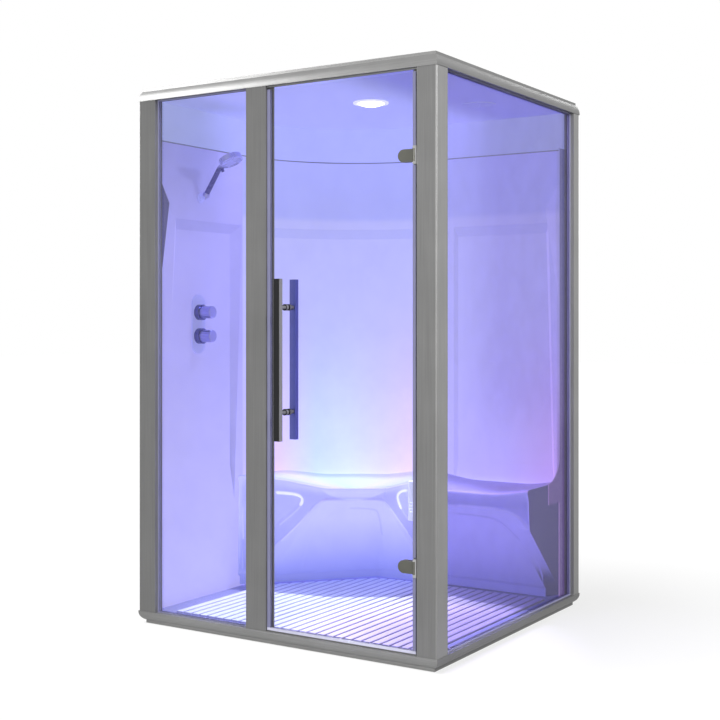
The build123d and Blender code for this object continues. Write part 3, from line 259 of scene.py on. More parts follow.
def moulding(name, colour, painted_base_glow, washed="", rough=0.5, facing=None, seam=False, foot=None,
             painted_tone=False, painted_shades=()):
    """Satin sanitary acrylic with the coloured light of the cabin painted into its colour and glow. washed
    says where the strips' painted glow lies, on "walls" or "tops". facing is a direction away from which the
    painted glow fades, a painted shade by facing, and foot is the painted glow near the floor. seam paints a
    line of shade along the joint between walls and ceiling. painted_tone takes up a seat's painted
    highlights and shade.
    painted_shades are colours that paint shade on it, or light where above one, between places along the
    axes x, y, z or the normal's nx, ny, nz."""
    t = Tree(name)
    cloud = t.noise(2.4, 2.0)
    fine = t.noise(160.0, 2.0)
    base = t.ramp(cloud, (0.3, shade(colour, 0.97)), (0.7, shade(colour, 1.02)))
    shader = t.add("BsdfPrincipled")
    shader.inputs["Specular IOR Level"].default_value = 0.12
    roughness = t.add("MapRange", Value=fine, i1=0.2, i2=0.8, i3=rough - 0.04, i4=rough + 0.05)
    t.put(shader, "Roughness", roughness)
    t.put(shader, "Normal", t.bump(fine, 0.03, 0.0003))
    x, y, z = t.place_parts()
    normal = t.normal_parts()
    hue = t.ramp(bearing(t, x, y), *WASH_HUES)
    grade = t.add("MapRange", Value=z, i1=FOOT_LOW, i2=FOOT_HIGH)
    own = t.mix(grade.outputs[0], foot or painted_base_glow, painted_base_glow)
    glow = t.mix(wash_share(t, washed, z, normal[2]), own, hue)
    # Painted shade: the glow fades on faces turned away from facing.
    if facing:
        toward = t.math("MULTIPLY", normal[0], facing[0])
        toward = t.math("ADD", toward, t.math("MULTIPLY", normal[1], facing[1]))
        toward = t.math("ADD", toward, t.math("MULTIPLY", normal[2], facing[2]))
        part = t.add("MapRange", Value=toward, i1=0.2, i2=1.0, i3=0.25, i4=1.0)
        glow = t.mix(1.0, glow, part.outputs[0], "MULTIPLY")
    # Painted shade and light: the seam line, the colours by place and facing, and a seat's painted tone
    # darken or lighten both colour and glow.
    painted_shading = []
    if seam:
        away = t.math("ABSOLUTE", t.math("SUBTRACT", z, SEAM_HEIGHT))
        painted_shading.append(t.add("MapRange", Value=away, i1=0.0012, i2=0.0032, i3=0.3, i4=1.0))
    values = dict(zip("x y z nx ny nz".split(), (x, y, z, *normal)))
    for tone, *ramps in painted_shades:
        part = 1.0
        for axis, start, end in ramps:
            part = t.math("MULTIPLY", part, t.ease(values[axis], start, end))
        painted_shading.append(t.mix(part, (1.0, 1.0, 1.0), tone))
    if painted_tone:
        tone = t.add("Attribute", {"attribute_name": "tone"}).outputs["Fac"]
        painted_shading.append(t.add("CombineColor", Red=tone, Green=tone, Blue=t.math("POWER", tone, 0.5)))
    for factor in painted_shading:
        glow = t.mix(1.0, glow, factor, "MULTIPLY")
        base = t.mix(1.0, base, factor, "MULTIPLY")
    # Painted light: the glow is emission standing in for the coloured light of the strips and lamps.
    t.put(shader, "Base Color", base)
    t.put(shader, "Emission Color", glow)
    shader.inputs["Emission Strength"].default_value = 1.0
    return t.surface(shader)


# Painted light: the coloured lights' white, cyan and pink on the slats, going over to violet shade towards
# the right.
DECK_LIGHT_HUES = (
    (0.0, (0.72, 0.74, 0.90)),
    (0.25, (0.80, 0.87, 0.92)),
    (0.5, (0.88, 0.89, 0.94)),
    (0.66, (0.80, 0.73, 0.92)),
    (0.85, (0.55, 0.48, 0.82)),
    (1.0, (0.44, 0.38, 0.80)),
)
# Painted shade on the slats' sides, down in the gaps.
DECK_GAP_SHADE = (0.40, 0.38, 0.60)


def deck_material(name):
    """Matt slats with a fine ribbed skin, with the white, cyan and pink of the coloured lights, painted
    shade between them and a painted blue glow towards the left.
    """
    t = Tree(name)
    coords = t.add("TexCoord").outputs["Object"]
    split = t.add("SeparateXYZ", Vector=coords)
    large = t.noise(1.7, 1.0)
    across = t.math("ADD", split.outputs[0], t.math("MULTIPLY", large, 0.5))
    hue = t.ramp(t.add("MapRange", Value=across, i1=-0.4, i2=0.95).outputs[0], *DECK_LIGHT_HUES)
    ribs = t.add("TexWave", {"bands_direction": "X"}, Vector=coords, Scale=95.0, Distortion=0.0)
    fine = t.noise(500.0, 2.0)
    gap_shade = t.add("MapRange", Value=split.outputs[2], i1=0.0525, i2=0.0545)
    colour = t.mix(gap_shade.outputs[0], DECK_GAP_SHADE, hue)
    shader = t.add("BsdfPrincipled", Base_Color=colour, Roughness=0.5)
    blue_glow = t.ease(split.outputs[0], 0.15, -0.05)
    t.put(shader, "Emission Color", t.mix(blue_glow, (0.0, 0.0, 0.0), (0.07, 0.08, 0.25)))
    shader.inputs["Emission Strength"].default_value = 1.0
    height = t.math("ADD", t.math("MULTIPLY", ribs.outputs["Fac"], 0.6), t.math("MULTIPLY", fine, 0.4))
    t.put(shader, "Normal", t.bump(height, 0.1, 0.0006))
    return t.surface(shader)


def flat_bar(name, front, side):
    """Brushed square bar with painted shade on its face and painted light on its sides."""
    t = Tree(name)
    grain = t.noise(1.0, 4.0, 0.6, t.place((300, 300, 4)))
    side_light = t.add("MapRange", Value=t.math("ABSOLUTE", t.normal_parts()[0]), i1=0.4, i2=0.85)
    tone = t.mix(side_light.outputs[0], front, side)
    base = t.mix(1.0, tone, t.ramp(grain, (0.3, (0.85,) * 3), (0.7, (1.1,) * 3)), "MULTIPLY")
    roughness = t.add("MapRange", Value=grain, i1=0.2, i2=0.8, i3=0.36, i4=0.5)
    shader = t.add("BsdfPrincipled", Base_Color=base, Roughness=roughness)
    shader.inputs["Specular IOR Level"].default_value = 0.15
    t.put(shader, "Normal", t.bump(grain, 0.08, 0.0002))
    return t.surface(shader)


# The handset's handle ends and its head begins between these heights.
HEAD_LOW = 1.852
HEAD_HIGH = 1.862


def handset_material(name):
    """Chromed handle with the cabin's deep violet light and a faint glow painted into it, and a paler head
    above it.
    """
    t = Tree(name)
    head = t.add("MapRange", Value=t.place_parts()[2], i1=HEAD_LOW, i2=HEAD_HIGH)
    smear = t.noise(30.0, 4.0)
    tone = t.mix(head.outputs[0], (0.075, 0.068, 0.30), (0.34, 0.34, 0.66))
    base = t.mix(1.0, tone, t.ramp(smear, (0.3, (0.9,) * 3), (0.7, (1.1,) * 3)), "MULTIPLY")
    shader = t.add("BsdfPrincipled", Base_Color=base, Metallic=0.35)
    t.put(shader, "Roughness", t.add("MapRange", Value=smear, i1=0.25, i2=0.75, i3=0.22, i4=0.34))
    t.put(shader, "Emission Color", t.mix(head.outputs[0], (0.02, 0.02, 0.09), (0.10, 0.10, 0.24)))
    shader.inputs["Emission Strength"].default_value = 1.0
    t.put(shader, "Normal", t.bump(t.noise(500.0, 2.0), 0.03, 0.0002))
    return t.surface(shader)


FROSTED = (0.9, 0.9, 0.92, 1)


def lit(name, colour, strength):
    """Frosted diffuser with a light behind it, a little brighter in its middle."""
    t = Tree(name)
    frost = t.noise(300.0, 2.0)
    facing = t.add("LayerWeight", Blend=0.35).outputs["Facing"]
    shine = t.ramp(facing, (0.0, colour), (1.0, shade(colour, 0.7)))
    shader = t.add("BsdfPrincipled", Base_Color=FROSTED, Roughness=0.5, Emission_Color=shine)
    shader.inputs["Emission Strength"].default_value = strength
    t.put(shader, "Normal", t.bump(frost, 0.05, 0.0002))
    return t.surface(shader)


GREY = (0.158, 0.158, 0.156)
# Painted light: white acrylic with the cabin's violet light painted into its colour.
WHITE_IN_VIOLET_LIGHT = (0.40, 0.41, 0.83)
materials = {
    # Painted light and shade: the front and back rails a little lighter, the front base rail much lighter
    # and the side rails darker copies of the posts' anodised grey.
    "rail_x": aluminium("anodised_rail_x", shade(GREY, 1.05), 0),
    "base_x": aluminium("anodised_base_x_painted_light", shade(GREY, 1.4), 0),
    "rail_y": aluminium("anodised_rail_y_painted_shade", shade(GREY, 0.7), 1),
    "post": aluminium("anodised_post", GREY, 2),
    "glass": glass("toughened_glass", (0.945, 0.945, 0.96), 0.3),
    "side_glass": glass("toughened_side_glass", (0.858, 0.838, 0.935), 0.12),
    # Painted light: the grey gaskets and seals and the clear sweep carry the violet of the cabin light in
    # their colours.
    "rubber": plastic("glazing_rubber", (0.20, 0.20, 0.32), 0.6, 0.15, 1200.0),
    "seal": plastic("grey_vinyl_seal", (0.19, 0.19, 0.31), 0.4, 0.05, 600.0),
    "sweep": plastic("clear_sweep_vinyl", (0.55, 0.55, 0.68), 0.25, 0.05, 600.0),
    "sheet": plastic("powder_coated_sheet", (0.62, 0.62, 0.61), 0.45, 0.12, 700.0, spread=0.018),
    # Painted shade and light: darker above the recesses, lighter just above the seats, darker on down-facing
    # bevels.
    "wall": moulding("moulded_wall", WHITE_IN_VIOLET_LIGHT, (0.36, 0.37, 0.48), "walls", seam=True, painted_shades=(
        ((0.84, 0.87, 0.97), ("z", 1.665, 1.70)),
        ((1.08, 1.07, 1.05), ("z", 0.66, 0.50)),
        ((0.72, 0.75, 0.88), ("nz", -0.1, -0.5)),
    )),
    # The back wall is a copy with more painted shade and light: darker up on its right part and at the
    # right-hand cheek, darker on faces turned right, lighter on faces turned left, darker on down-facing
    # bevels.
    "wall_back": moulding("moulded_wall_back", WHITE_IN_VIOLET_LIGHT, (0.36, 0.37, 0.48), "walls", seam=True, painted_shades=(
        ((0.84, 0.87, 0.97), ("z", 1.665, 1.70)),
        ((1.08, 1.07, 1.05), ("z", 0.66, 0.50)),
        ((0.77, 0.74, 0.87), ("x", 0.10, 0.36), ("z", 0.60, 0.95)),
        ((1.20, 1.14, 1.06), ("nx", -0.12, -0.4)),
        ((0.86, 0.88, 0.84), ("x", 0.595, 0.61)),
        ((0.62, 0.60, 0.74), ("x", 0.595, 0.61), ("z", 0.95, 0.62)),
        ((0.85, 0.86, 0.92), ("nx", 0.3, 0.8)),
        ((0.50, 0.50, 0.62), ("nx", 0.3, 0.8), ("x", 0.57, 0.60)),
        ((0.72, 0.75, 0.88), ("nz", -0.1, -0.5)),
    )),
    # The left wall is a dimmer copy: its glow fades on faces turned away from the back right, its front
    # facet is painted nearly black as shade, and its upper front and down-facing bevels are darker.
    "wall_left": moulding("moulded_wall_left", WHITE_IN_VIOLET_LIGHT, (0.26, 0.235, 0.42), "walls",
                          facing=(0.85, 0.53, 0.0), seam=True, painted_shades=(
        ((0.20, 0.20, 0.24), ("x", -0.6343, -0.633)),
        ((0.64, 0.67, 0.72), ("z", 1.45, 2.0), ("y", -0.02, -0.30)),
        ((0.72, 0.74, 0.86), ("nz", -0.1, -0.5)),
    )),
    # Painted shade on the ceiling: darker on its down-facing face, towards the right and at the front left,
    # with a violet cast on the right.
    "ceiling": moulding("moulded_ceiling", WHITE_IN_VIOLET_LIGHT, (0.29, 0.32, 0.47), seam=True, painted_shades=(
        ((0.88, 0.86, 0.96), ("nz", -0.5, -0.8)),
        ((0.74, 0.76, 0.74), ("x", 0.10, 0.36)),
        ((0.72, 0.68, 0.97), ("x", 0.20, 0.42), ("nz", -0.5, -0.8)),
        ((0.76, 0.79, 0.76), ("x", -0.30, -0.55), ("y", 0.0, -0.34)),
    )),
    # Seats: violet light painted into colour and glow, painted shade on their up-facing tops and a darker
    # painted glow at the foot. The right seat is a darker copy, its glow fading away from the front and
    # painted shade on its side turned to the right glass.
    "seat": moulding("moulded_seat", (0.44, 0.45, 0.82), (0.40, 0.41, 0.68), "tops", 0.45,
                     foot=(0.11, 0.13, 0.34), painted_tone=True, painted_shades=(((0.64, 0.71, 0.76), ("nz", 0.5, 0.9)),)),
    "seat_right": moulding("moulded_seat_right_painted_shade", (0.34, 0.34, 0.80), (0.20, 0.185, 0.48), "tops", 0.45,
                           facing=(-0.25, -0.97, 0.0), foot=(0.07, 0.07, 0.26), painted_tone=True, painted_shades=(
        ((0.88, 0.84, 0.92), ("nz", 0.5, 0.9)),
        ((0.36, 0.36, 0.48), ("nx", 0.3, 0.8)),
    )),
    # Painted light: the tray's violet colour and the cowl's glow stand in for the cabin light.
    "tray": moulding("moulded_tray", (0.30, 0.31, 0.62), (0.0, 0.0, 0.0), rough=0.35),
    "cowl": moulding("steam_cowl_white", (0.70, 0.72, 0.86), (0.34, 0.36, 0.46), rough=0.35),
    "deck": deck_material("slatted_deck"),
    "strip": lit("strip_diffuser", (0.75, 0.9, 1.0), 0.9),
    "lens": lit("lamp_diffuser", (1.0, 1.0, 1.0), 4.0),
    "lamp": lit("lamp_ring_white", (0.9, 0.92, 1.0), 0.6),
    "steel": metal("steam_steel", (0.5, 0.5, 0.5), 0.35, (300, 10, 10)),
    "copper": metal("copper_tube", (0.72, 0.42, 0.28), 0.3),
    # Painted light: the mixer plate, shower elbow, bosses, knobs and holder carry the cabin's violet light
    # in their colours. The plate and elbow also have a painted glow, darker than the wall's as painted
    # shade.
    "mixer": moulding("mixer_plate_painted_violet_light", (0.35, 0.36, 0.76), (0.20, 0.205, 0.41), rough=0.3),
    "boss": metal("boss_chrome_painted_violet_light", (0.13, 0.13, 0.34), 0.2),
    "chrome": metal("chrome_plate_painted_violet_light", (0.44, 0.44, 0.78), 0.3),
    "handset": handset_material("shower_handset_chrome"),
    "dark": flat_bar("dark_anodised_bar", (0.014, 0.014, 0.015), (0.165, 0.165, 0.175)),
    # Painted light: the inner bar's violet is the cabin light painted into its colour.
    "violet_lit_bar": metal("inner_bar_painted_violet_light", (0.15, 0.17, 0.56), 0.35, (300, 300, 4), 0.05, 0.7),
    "hinge": metal("hinge_satin", (0.10, 0.10, 0.085), 0.42, (300, 30, 300), 0.08, 0.6),
    "leaf": metal("hinge_leaf_polished", (0.42, 0.42, 0.42), 0.3),
    "foot": plastic("foot_grey", (0.10, 0.10, 0.11), 0.6, 0.2, 500.0),
    "drain": metal("drain_steel", (0.5, 0.5, 0.5), 0.3),
}
looks = {
    "rail_x": "top_rail_front top_rail_back base_rail_back door_frame_strips",
    "base_x": "base_rail_front",
    "rail_y": "top_rail_left top_rail_right base_rail_left base_rail_right",
    "post": "post_front_left post_front_right post_back_left post_back_right mullion",
    "glass": "front_window_glass door_glass",
    "side_glass": "side_window_glass",
    "rubber": "front_window_gasket side_window_gasket",
    "seal": "door_edge_seals",
    "sweep": "door_sweep_seal",
    "sheet": "left_outer_panel back_outer_panel roof_panel control_box",
    "wall": "wall_liner_corner",
    "wall_back": "wall_liner_back",
    "wall_left": "wall_liner_left",
    "ceiling": "ceiling_liner ceiling_grille",
    "tray": "floor_tray",
    "cowl": "steam_outlet_cowl",
    "deck": "floor_deck",
    "strip": "seat_light_strip",
    "lens": "lamp_lens",
    "lamp": "lamp_housing",
    "steel": "steam_generator steam_pipe",
    "copper": "water_pipe",
    "mixer": "mixer_plate shower_elbow",
    "boss": "mixer_body",
    "chrome": "temperature_knob flow_knob shower_holder",
    "handset": "shower_handset spray_selector",
    "dark": "door_handle_outer handle_standoffs",
    "violet_lit_bar": "door_handle_inner",
    "hinge": "hinge_glass_clamps hinge_pins hinge_clamp_screws",
    "leaf": "hinge_post_leaves",
    "foot": "levelling_feet cable_gland",
    "drain": "drain_body drain_strainer",
}
for look, names in looks.items():
    for name in names.split():
        shown = nodes[name]
        shown.data.materials.clear()
        shown.data.materials.append(materials[look])

# Seats: smooth mouldings in the space of the CAD's ruled solids. Places are cabin millimetres.

CAMERA = Vector((2.75084, -4.38032, 1.21336))
YAW = math.radians(32.769)
FOCAL = 1247.96
CENTRE = (348.69, 321.78)
# How far outside its own box an outline still has an effect, in pixels of the photograph's frame.
OUTLINE_REACH = 12
# The seat's top rises by SEAT_LIFT towards its arms; its edge is rolled, its fascia a little waisted,
# and KICK sets its foot back: pairs of inset and height.
SEAT_TOP = 510
SEAT_LIFT = 28
ROLL_RADIUS = 13.0
WAIST = 5
KICK = ((3, 97), (8, 95), (11, 91), (12, 85), (12, 70), (12, 55.5))
SEAT_FOOT = 0.0555
# Points along a seat, and rows down it. Relief starts at RELIEF_FIRST, is full at RELIEF_FULL and ends
# RELIEF_LAST rows before the foot.
SEAT_COLUMNS = 300
TOP_ROWS = 14
ROLL_ROWS = 6
RELIEF_FIRST = 16
RELIEF_FULL = 30
RELIEF_LAST = 7


def pixel(point):
    """Where a shared-frame point lies in the 720 pixel frame of the photograph."""
    off = point - CAMERA
    depth = off.y * math.cos(YAW) - off.x * math.sin(YAW)
    across = off.x * math.cos(YAW) + off.y * math.sin(YAW)
    return CENTRE[0] + FOCAL * across / depth, CENTRE[1] - FOCAL * off.z / depth


def smooth(value, low, high):
    """Smooth step from 0 at low to 1 at high."""
    x = min(1.0, max(0.0, (value - low) / (high - low)))
    return x * x * (3 - 2 * x)


def rounded(points, closed=True):
    """Cuts the corners of an outline twice, which rounds them."""
    for _ in range(2):
        pairs = list(zip(points, points[1:] + points[:1] if closed else points[1:]))
        cut = []
        for a, b in pairs:
            cut.append((a[0] * 0.75 + b[0] * 0.25, a[1] * 0.75 + b[1] * 0.25))
            cut.append((a[0] * 0.25 + b[0] * 0.75, a[1] * 0.25 + b[1] * 0.75))
        points = cut
    return points


def far_from(place, points):
    """Whether a place is well outside the box of some points."""
    return any(
        place[k] < min(p[k] for p in points) - OUTLINE_REACH
        or place[k] > max(p[k] for p in points) + OUTLINE_REACH
        for k in (0, 1)
    )


def depth_inside(place, outline):
    """Signed distance to a closed outline, positive inside it."""
    x, y = place
    if far_from(place, outline):
        return -99.0
    best = 1e9
    inside = False
    for (ax, ay), (bx, by) in zip(outline, outline[1:] + outline[:1]):
        dx, dy = bx - ax, by - ay
        span = dx * dx + dy * dy or 1e-9
        k = min(1.0, max(0.0, ((x - ax) * dx + (y - ay) * dy) / span))
        best = min(best, math.hypot(x - ax - k * dx, y - ay - k * dy))
        if (ay > y) != (by > y) and x < ax + (y - ay) * dx / dy:
            inside = not inside
    return best if inside else -best


def off_line(place, line):
    """Distance to an open line."""
    if far_from(place, line):
        return 99.0
    best = 1e9
    for (ax, ay), (bx, by) in zip(line, line[1:]):
        dx, dy = bx - ax, by - ay
        k = min(1.0, max(0.0, ((place[0] - ax) * dx + (place[1] - ay) * dy) / (dx * dx + dy * dy or 1e-9)))
        best = min(best, math.hypot(place[0] - ax - k * dx, place[1] - ay - k * dy))
    return best


def along(points, place):
    """Point of a polyline at a place counted in its own points."""
    i = min(int(place), len(points) - 2)
    k = place - i
    return [a + (b - a) * k for a, b in zip(points[i], points[i + 1])]


def columns(lines, count):
    """Places along matching polylines, spread evenly over the longest of their runs."""
    runs = [0.0]
    for i in range(len(lines[0]) - 1):
        runs.append(runs[-1] + max(math.dist(line[i], line[i + 1]) for line in lines))
    places = []
    for j in range(count):
        want = runs[-1] * j / (count - 1)
        i = max(k for k in range(len(runs)) if runs[k] <= want + 1e-9)
        i = min(i, len(runs) - 2)
        places.append(i + (want - runs[i]) / (runs[i + 1] - runs[i]))
    return places


def softened(row, passes):
    """Rounds a row of points off without moving its ends."""
    for _ in range(passes):
        row = [row[0]] + [[(a + 2 * b + c) / 4 for a, b, c in zip(p, q, r)]
                          for p, q, r in zip(row, row[1:], row[2:])] + [row[-1]]
    return row


def seat_form(name, node, levels, back, middle, facing, material, reliefs, painted_fields, painted_lines):
    """One seat: top, rolled edge, fascia, apron and kick as rows of points, with its relief pressed in.
    reliefs are pressed into the surface; painted_fields and painted_lines only paint highlights and shade on
    areas and lines of it, in its tone."""
    count = SEAT_COLUMNS
    places = columns([line for _, line in levels], count)
    soft = {z: softened([along(line, s) for s in places], 14) for z, line in levels}
    heights = sorted(soft, reverse=True)
    edge = soft[heights[0]]
    rear = [along(back, (len(back) - 1) * j / (count - 1)) for j in range(count)]
    side = (-facing[1], facing[0])

    def top(x, y):
        off = abs((x - middle[0]) * side[0] + (y - middle[1]) * side[1])
        return SEAT_TOP + SEAT_LIFT * smooth(off, 110, 360)

    rows = []
    inward = []
    for j in range(count):
        a, b = edge[max(0, j - 1)], edge[min(count - 1, j + 1)]
        length = math.dist(a, b)
        inward.append((-(b[1] - a[1]) / length, (b[0] - a[0]) / length))
    inward[0] = (0.0, 1.0)
    inward[-1] = (0.0, 1.0)
    for i in range(TOP_ROWS):
        k = i / TOP_ROWS
        row = []
        for (ex, ey), (rx, ry), (nx, ny) in zip(edge, rear, inward):
            x, y = ex + nx * ROLL_RADIUS, ey + ny * ROLL_RADIUS
            x, y = rx + (x - rx) * k, ry + (y - ry) * k
            row.append((x, y, top(x, y)))
        rows.append(row)
    for i in range(ROLL_ROWS):
        angle = math.radians(18 * i)
        back_off = ROLL_RADIUS * (1 - math.sin(angle))
        drop = ROLL_RADIUS * (1 - math.cos(angle))
        row = []
        for (x, y), (nx, ny) in zip(edge, inward):
            row.append((x + nx * back_off, y + ny * back_off, top(x, y) - drop))
        rows.append(row)
    for high, low in zip(heights, heights[1:]):
        steps = max(8, int((high - low) / 4))
        start = rows[-1] if high == heights[0] else [(x, y, high) for x, y in soft[high]]
        for i in range(1, steps + 1):
            k = i / steps
            waist = WAIST * math.sin(math.pi * k) if high == heights[0] else 0
            rows.append([
                (sx + (x - sx) * k + nx * waist, sy + (y - sy) * k + ny * waist, sz + (low - sz) * k)
                for (sx, sy, sz), (x, y), (nx, ny) in zip(start, soft[low], inward)
            ])
    foot = rows[-1]
    for inset, z in KICK:
        rows.append([(x + nx * inset, y + ny * inset, z) for (x, y, _), (nx, ny) in zip(foot, inward)])

    grid = [[at(*point) for point in row] for row in rows]
    pressed = [row[:] for row in grid]
    painted_tones = [[1.0] * count for _ in grid]
    last = len(grid) - RELIEF_LAST
    for i in range(RELIEF_FIRST, last):
        for j in range(1, count - 1):
            point = grid[i][j]
            normal = (grid[i + 1][j] - grid[i - 1][j]).cross(grid[i][j + 1] - grid[i][j - 1]).normalized()
            place = pixel(point)
            press = sum(deep * smooth(depth_inside(place, outline) * way, -soft_edge, soft_edge)
                        for outline, way, deep, soft_edge in reliefs)
            fade = smooth(i, RELIEF_FIRST, RELIEF_FULL) * smooth(last - i, 0, 8)
            fade *= smooth(min(j, count - 1 - j), 0, 6)
            pressed[i][j] = point - normal * (press * fade / 1000)
            # Painted highlights and shade: the tone lightens or darkens the seat's colour and glow.
            tone = sum((value - 1) * smooth(depth_inside(place, outline) * way, -0.9, 0.9)
                       for outline, way, value in painted_fields)
            tone += sum((value - 1) * (1 - smooth(off_line(place, line), wide * 0.3, wide))
                        for line, value, wide in painted_lines)
            painted_tones[i][j] = 1 + tone * fade

    bm = bmesh.new()
    layer = bm.verts.layers.float.new("tone")
    made = [[bm.verts.new(point) for point in row] for row in pressed]
    for row, values in zip(made, painted_tones):
        for vertex, value in zip(row, values):
            vertex[layer] = value
    for upper, lower in zip(made, made[1:]):
        for a, b, c, d in zip(upper, upper[1:], lower[1:], lower):
            bm.faces.new((a, d, c, b))
    low_back = [bm.verts.new((v.co.x, v.co.y, SEAT_FOOT)) for v in made[0]]
    for vertex in low_back:
        vertex[layer] = 1.0
    for a, b, c, d in zip(made[0], made[0][1:], low_back[1:], low_back):
        bm.faces.new((a, b, c, d))
    bm.faces.new([row[0] for row in made] + [low_back[0]])
    bm.faces.new(([row[-1] for row in made] + [low_back[-1]])[::-1])
    bmesh.ops.recalc_face_normals(bm, faces=bm.faces[:])
    mesh = bpy.data.meshes.new(name)
    bm.to_mesh(mesh)
    bm.free()
    for face in mesh.polygons:
        face.use_smooth = len(face.vertices) == 4
    piece = bpy.data.objects.new(name, mesh)
    bpy.context.scene.collection.objects.link(piece)
    mesh.materials.append(materials[material])
    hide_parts(node)
    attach(piece, "cabin")


def seats():
    """The two seats with the outlines that the photograph shows on their fronts."""
    apron_left = rounded([(255, 563), (300, 523), (315, 505), (322, 500.3), (334, 499.4), (376, 499.4),
                          (384, 500.2), (391, 507), (412, 538), (440, 580), (440, 660), (255, 660)])
    highlight_brow_left = rounded([(314, 478), (328, 500), (380, 500), (396, 476)])
    inner_left = rounded([(300, 548), (334, 508), (376, 507.5), (386, 545), (386, 660), (300, 660)])
    hollow_left = rounded([(240, 491), (272, 493), (299, 495), (301, 503), (275, 527), (240, 552)])
    hollow_middle = rounded([(398, 502), (402, 491.5), (430, 489), (430, 520), (412, 522)])
    apron_right = rounded([(405, 502), (450, 505), (490, 508.5), (512, 513), (522, 521), (540, 548),
                           (560, 579), (560, 660), (405, 660)])
    inner_right = rounded([(405, 511), (450, 513), (488, 517), (502, 523), (530, 552), (545, 575),
                           (545, 660), (405, 660)])
    arc = [(50 + 600 - 586 * math.cos(a), 620 + 586 * math.sin(a)) for a in
           (math.radians(d) for d in range(0, 91, 5))]
    seat_form(
        "seat_form_left", "seat_left",
        (
            (510, ((50.5, 588), (229, 602), (489, 651), (695, 783), (697, 789), (735.7, 925))),
            (450, ((50.5, 592), (215, 612), (461, 664), (669, 800), (671, 805), (735.7, 940))),
            (100, ((50.5, 588), (142, 668), (150, 680), (486, 1062), (732, 1080), (735.7, 1084))),
        ),
        [(64, 605)] + arc + [(735.7, 1206)],
        (592, 717), (0.545, -0.838), "seat",
        ((apron_left, -1, 8, 1.2), (inner_left, 1, 1.2, 0.9), (hollow_left, 1, 9, 1.2),
         (hollow_middle, 1, 9, 1.2)),
        # Painted shade outside the apron; painted highlights on the brow and hollows.
        ((apron_left, -1, 0.78), (highlight_brow_left, 1, 1.24), (hollow_left, 1, 1.04), (hollow_middle, 1, 1.04)),
        # Painted lines: highlights where the value is above one, dark lines where it is below.
        ((rounded([(268, 492.5), (290, 494), (299, 496), (302, 501), (299, 507)], False), 1.8, 2.3),
         (rounded([(302, 501), (300, 507), (292, 515), (272, 531)], False), 1.18, 1.3),
         (rounded([(409, 490.8), (403, 491.5), (399, 495), (399.5, 502), (404, 512)], False), 1.8, 2.2),
         (rounded([(399.5, 502), (404, 513), (412, 524)], False), 1.15, 1.2),
         (rounded([(320, 501), (330, 499.3), (380, 499.3), (386, 503)], False), 0.85, 1.2),
         (rounded([(272, 550), (298, 525), (314, 505)], False), 1.13, 1.4),
         (rounded([(386, 503), (398, 519), (414, 541)], False), 1.12, 1.4),
         (rounded([(336, 508.5), (374, 508.5), (379, 513), (384, 548)], False), 0.88, 1.2),
         ([(262, 574.5), (345, 572.5), (412, 571)], 0.86, 1.6)),
    )
    seat_form(
        "seat_form_right", "seat_right",
        (
            (510, ((736.3, 925), (800, 890), (905, 850), (1190, 850), (1319.5, 850))),
            (450, ((736.3, 940), (812, 905), (915, 868), (1190, 868), (1319.5, 862))),
            (367, ((736.3, 973), (800, 947), (900, 919), (1214, 919), (1319.5, 870))),
            (100, ((736.3, 1080), (762, 1081), (850, 1082), (1290, 1082), (1319.5, 1150))),
        ),
        [(736.3, 1206), (1319.5, 1206)],
        (1028, 1220), (0, -1), "seat_right",
        ((apron_right, -1, 7, 1.2), (inner_right, 1, 3, 0.9)),
        # Painted shade outside the apron, then painted highlight and dark lines.
        ((apron_right, -1, 0.66),),
        ((rounded([(440, 504), (490, 508), (512, 512.5), (524, 522), (540, 547), (558, 575)], False),
          1.18, 1.3),
         (rounded([(440, 512.5), (488, 516.5), (502, 522), (530, 551)], False), 0.80, 1.2),
         (rounded([(530, 514), (532, 506), (540, 502), (553, 500)], False), 1.35, 1.2)),
    )


seats()

# Stage, camera and lights


def stage_floor():
    """Large pale floor that keeps the object's shadow."""
    mesh = bpy.data.meshes.new("studio_floor")
    bm = bmesh.new()
    bmesh.ops.create_grid(bm, x_segments=4, y_segments=4, size=30)
    bm.to_mesh(mesh)
    bm.free()
    floor = bpy.data.objects.new("studio_floor", mesh)
    bpy.context.scene.collection.objects.link(floor)
    t = Tree("studio_floor")
    path = t.add("LightPath")
    seen = t.math("ADD", path.outputs["Is Camera Ray"], path.outputs["Is Glossy Ray"])
    seen = t.math("ADD", seen, path.outputs["Is Transmission Ray"], clamp=True)
    tone = t.mix(path.outputs["Is Diffuse Ray"], (0.9, 0.9, 0.9), (0.40, 0.40, 0.40))
    lit_part = t.add("BsdfDiffuse", Color=tone)
    white = t.add("Emission", Color=(1, 1, 1, 1), Strength=1.0)
    mixed = t.add("MixShader")
    t.put(mixed, "i0", t.math("MULTIPLY", seen, 0.8))
    t.put(mixed, "i1", lit_part)
    t.put(mixed, "i2", white)
    mesh.materials.append(t.surface(mixed))


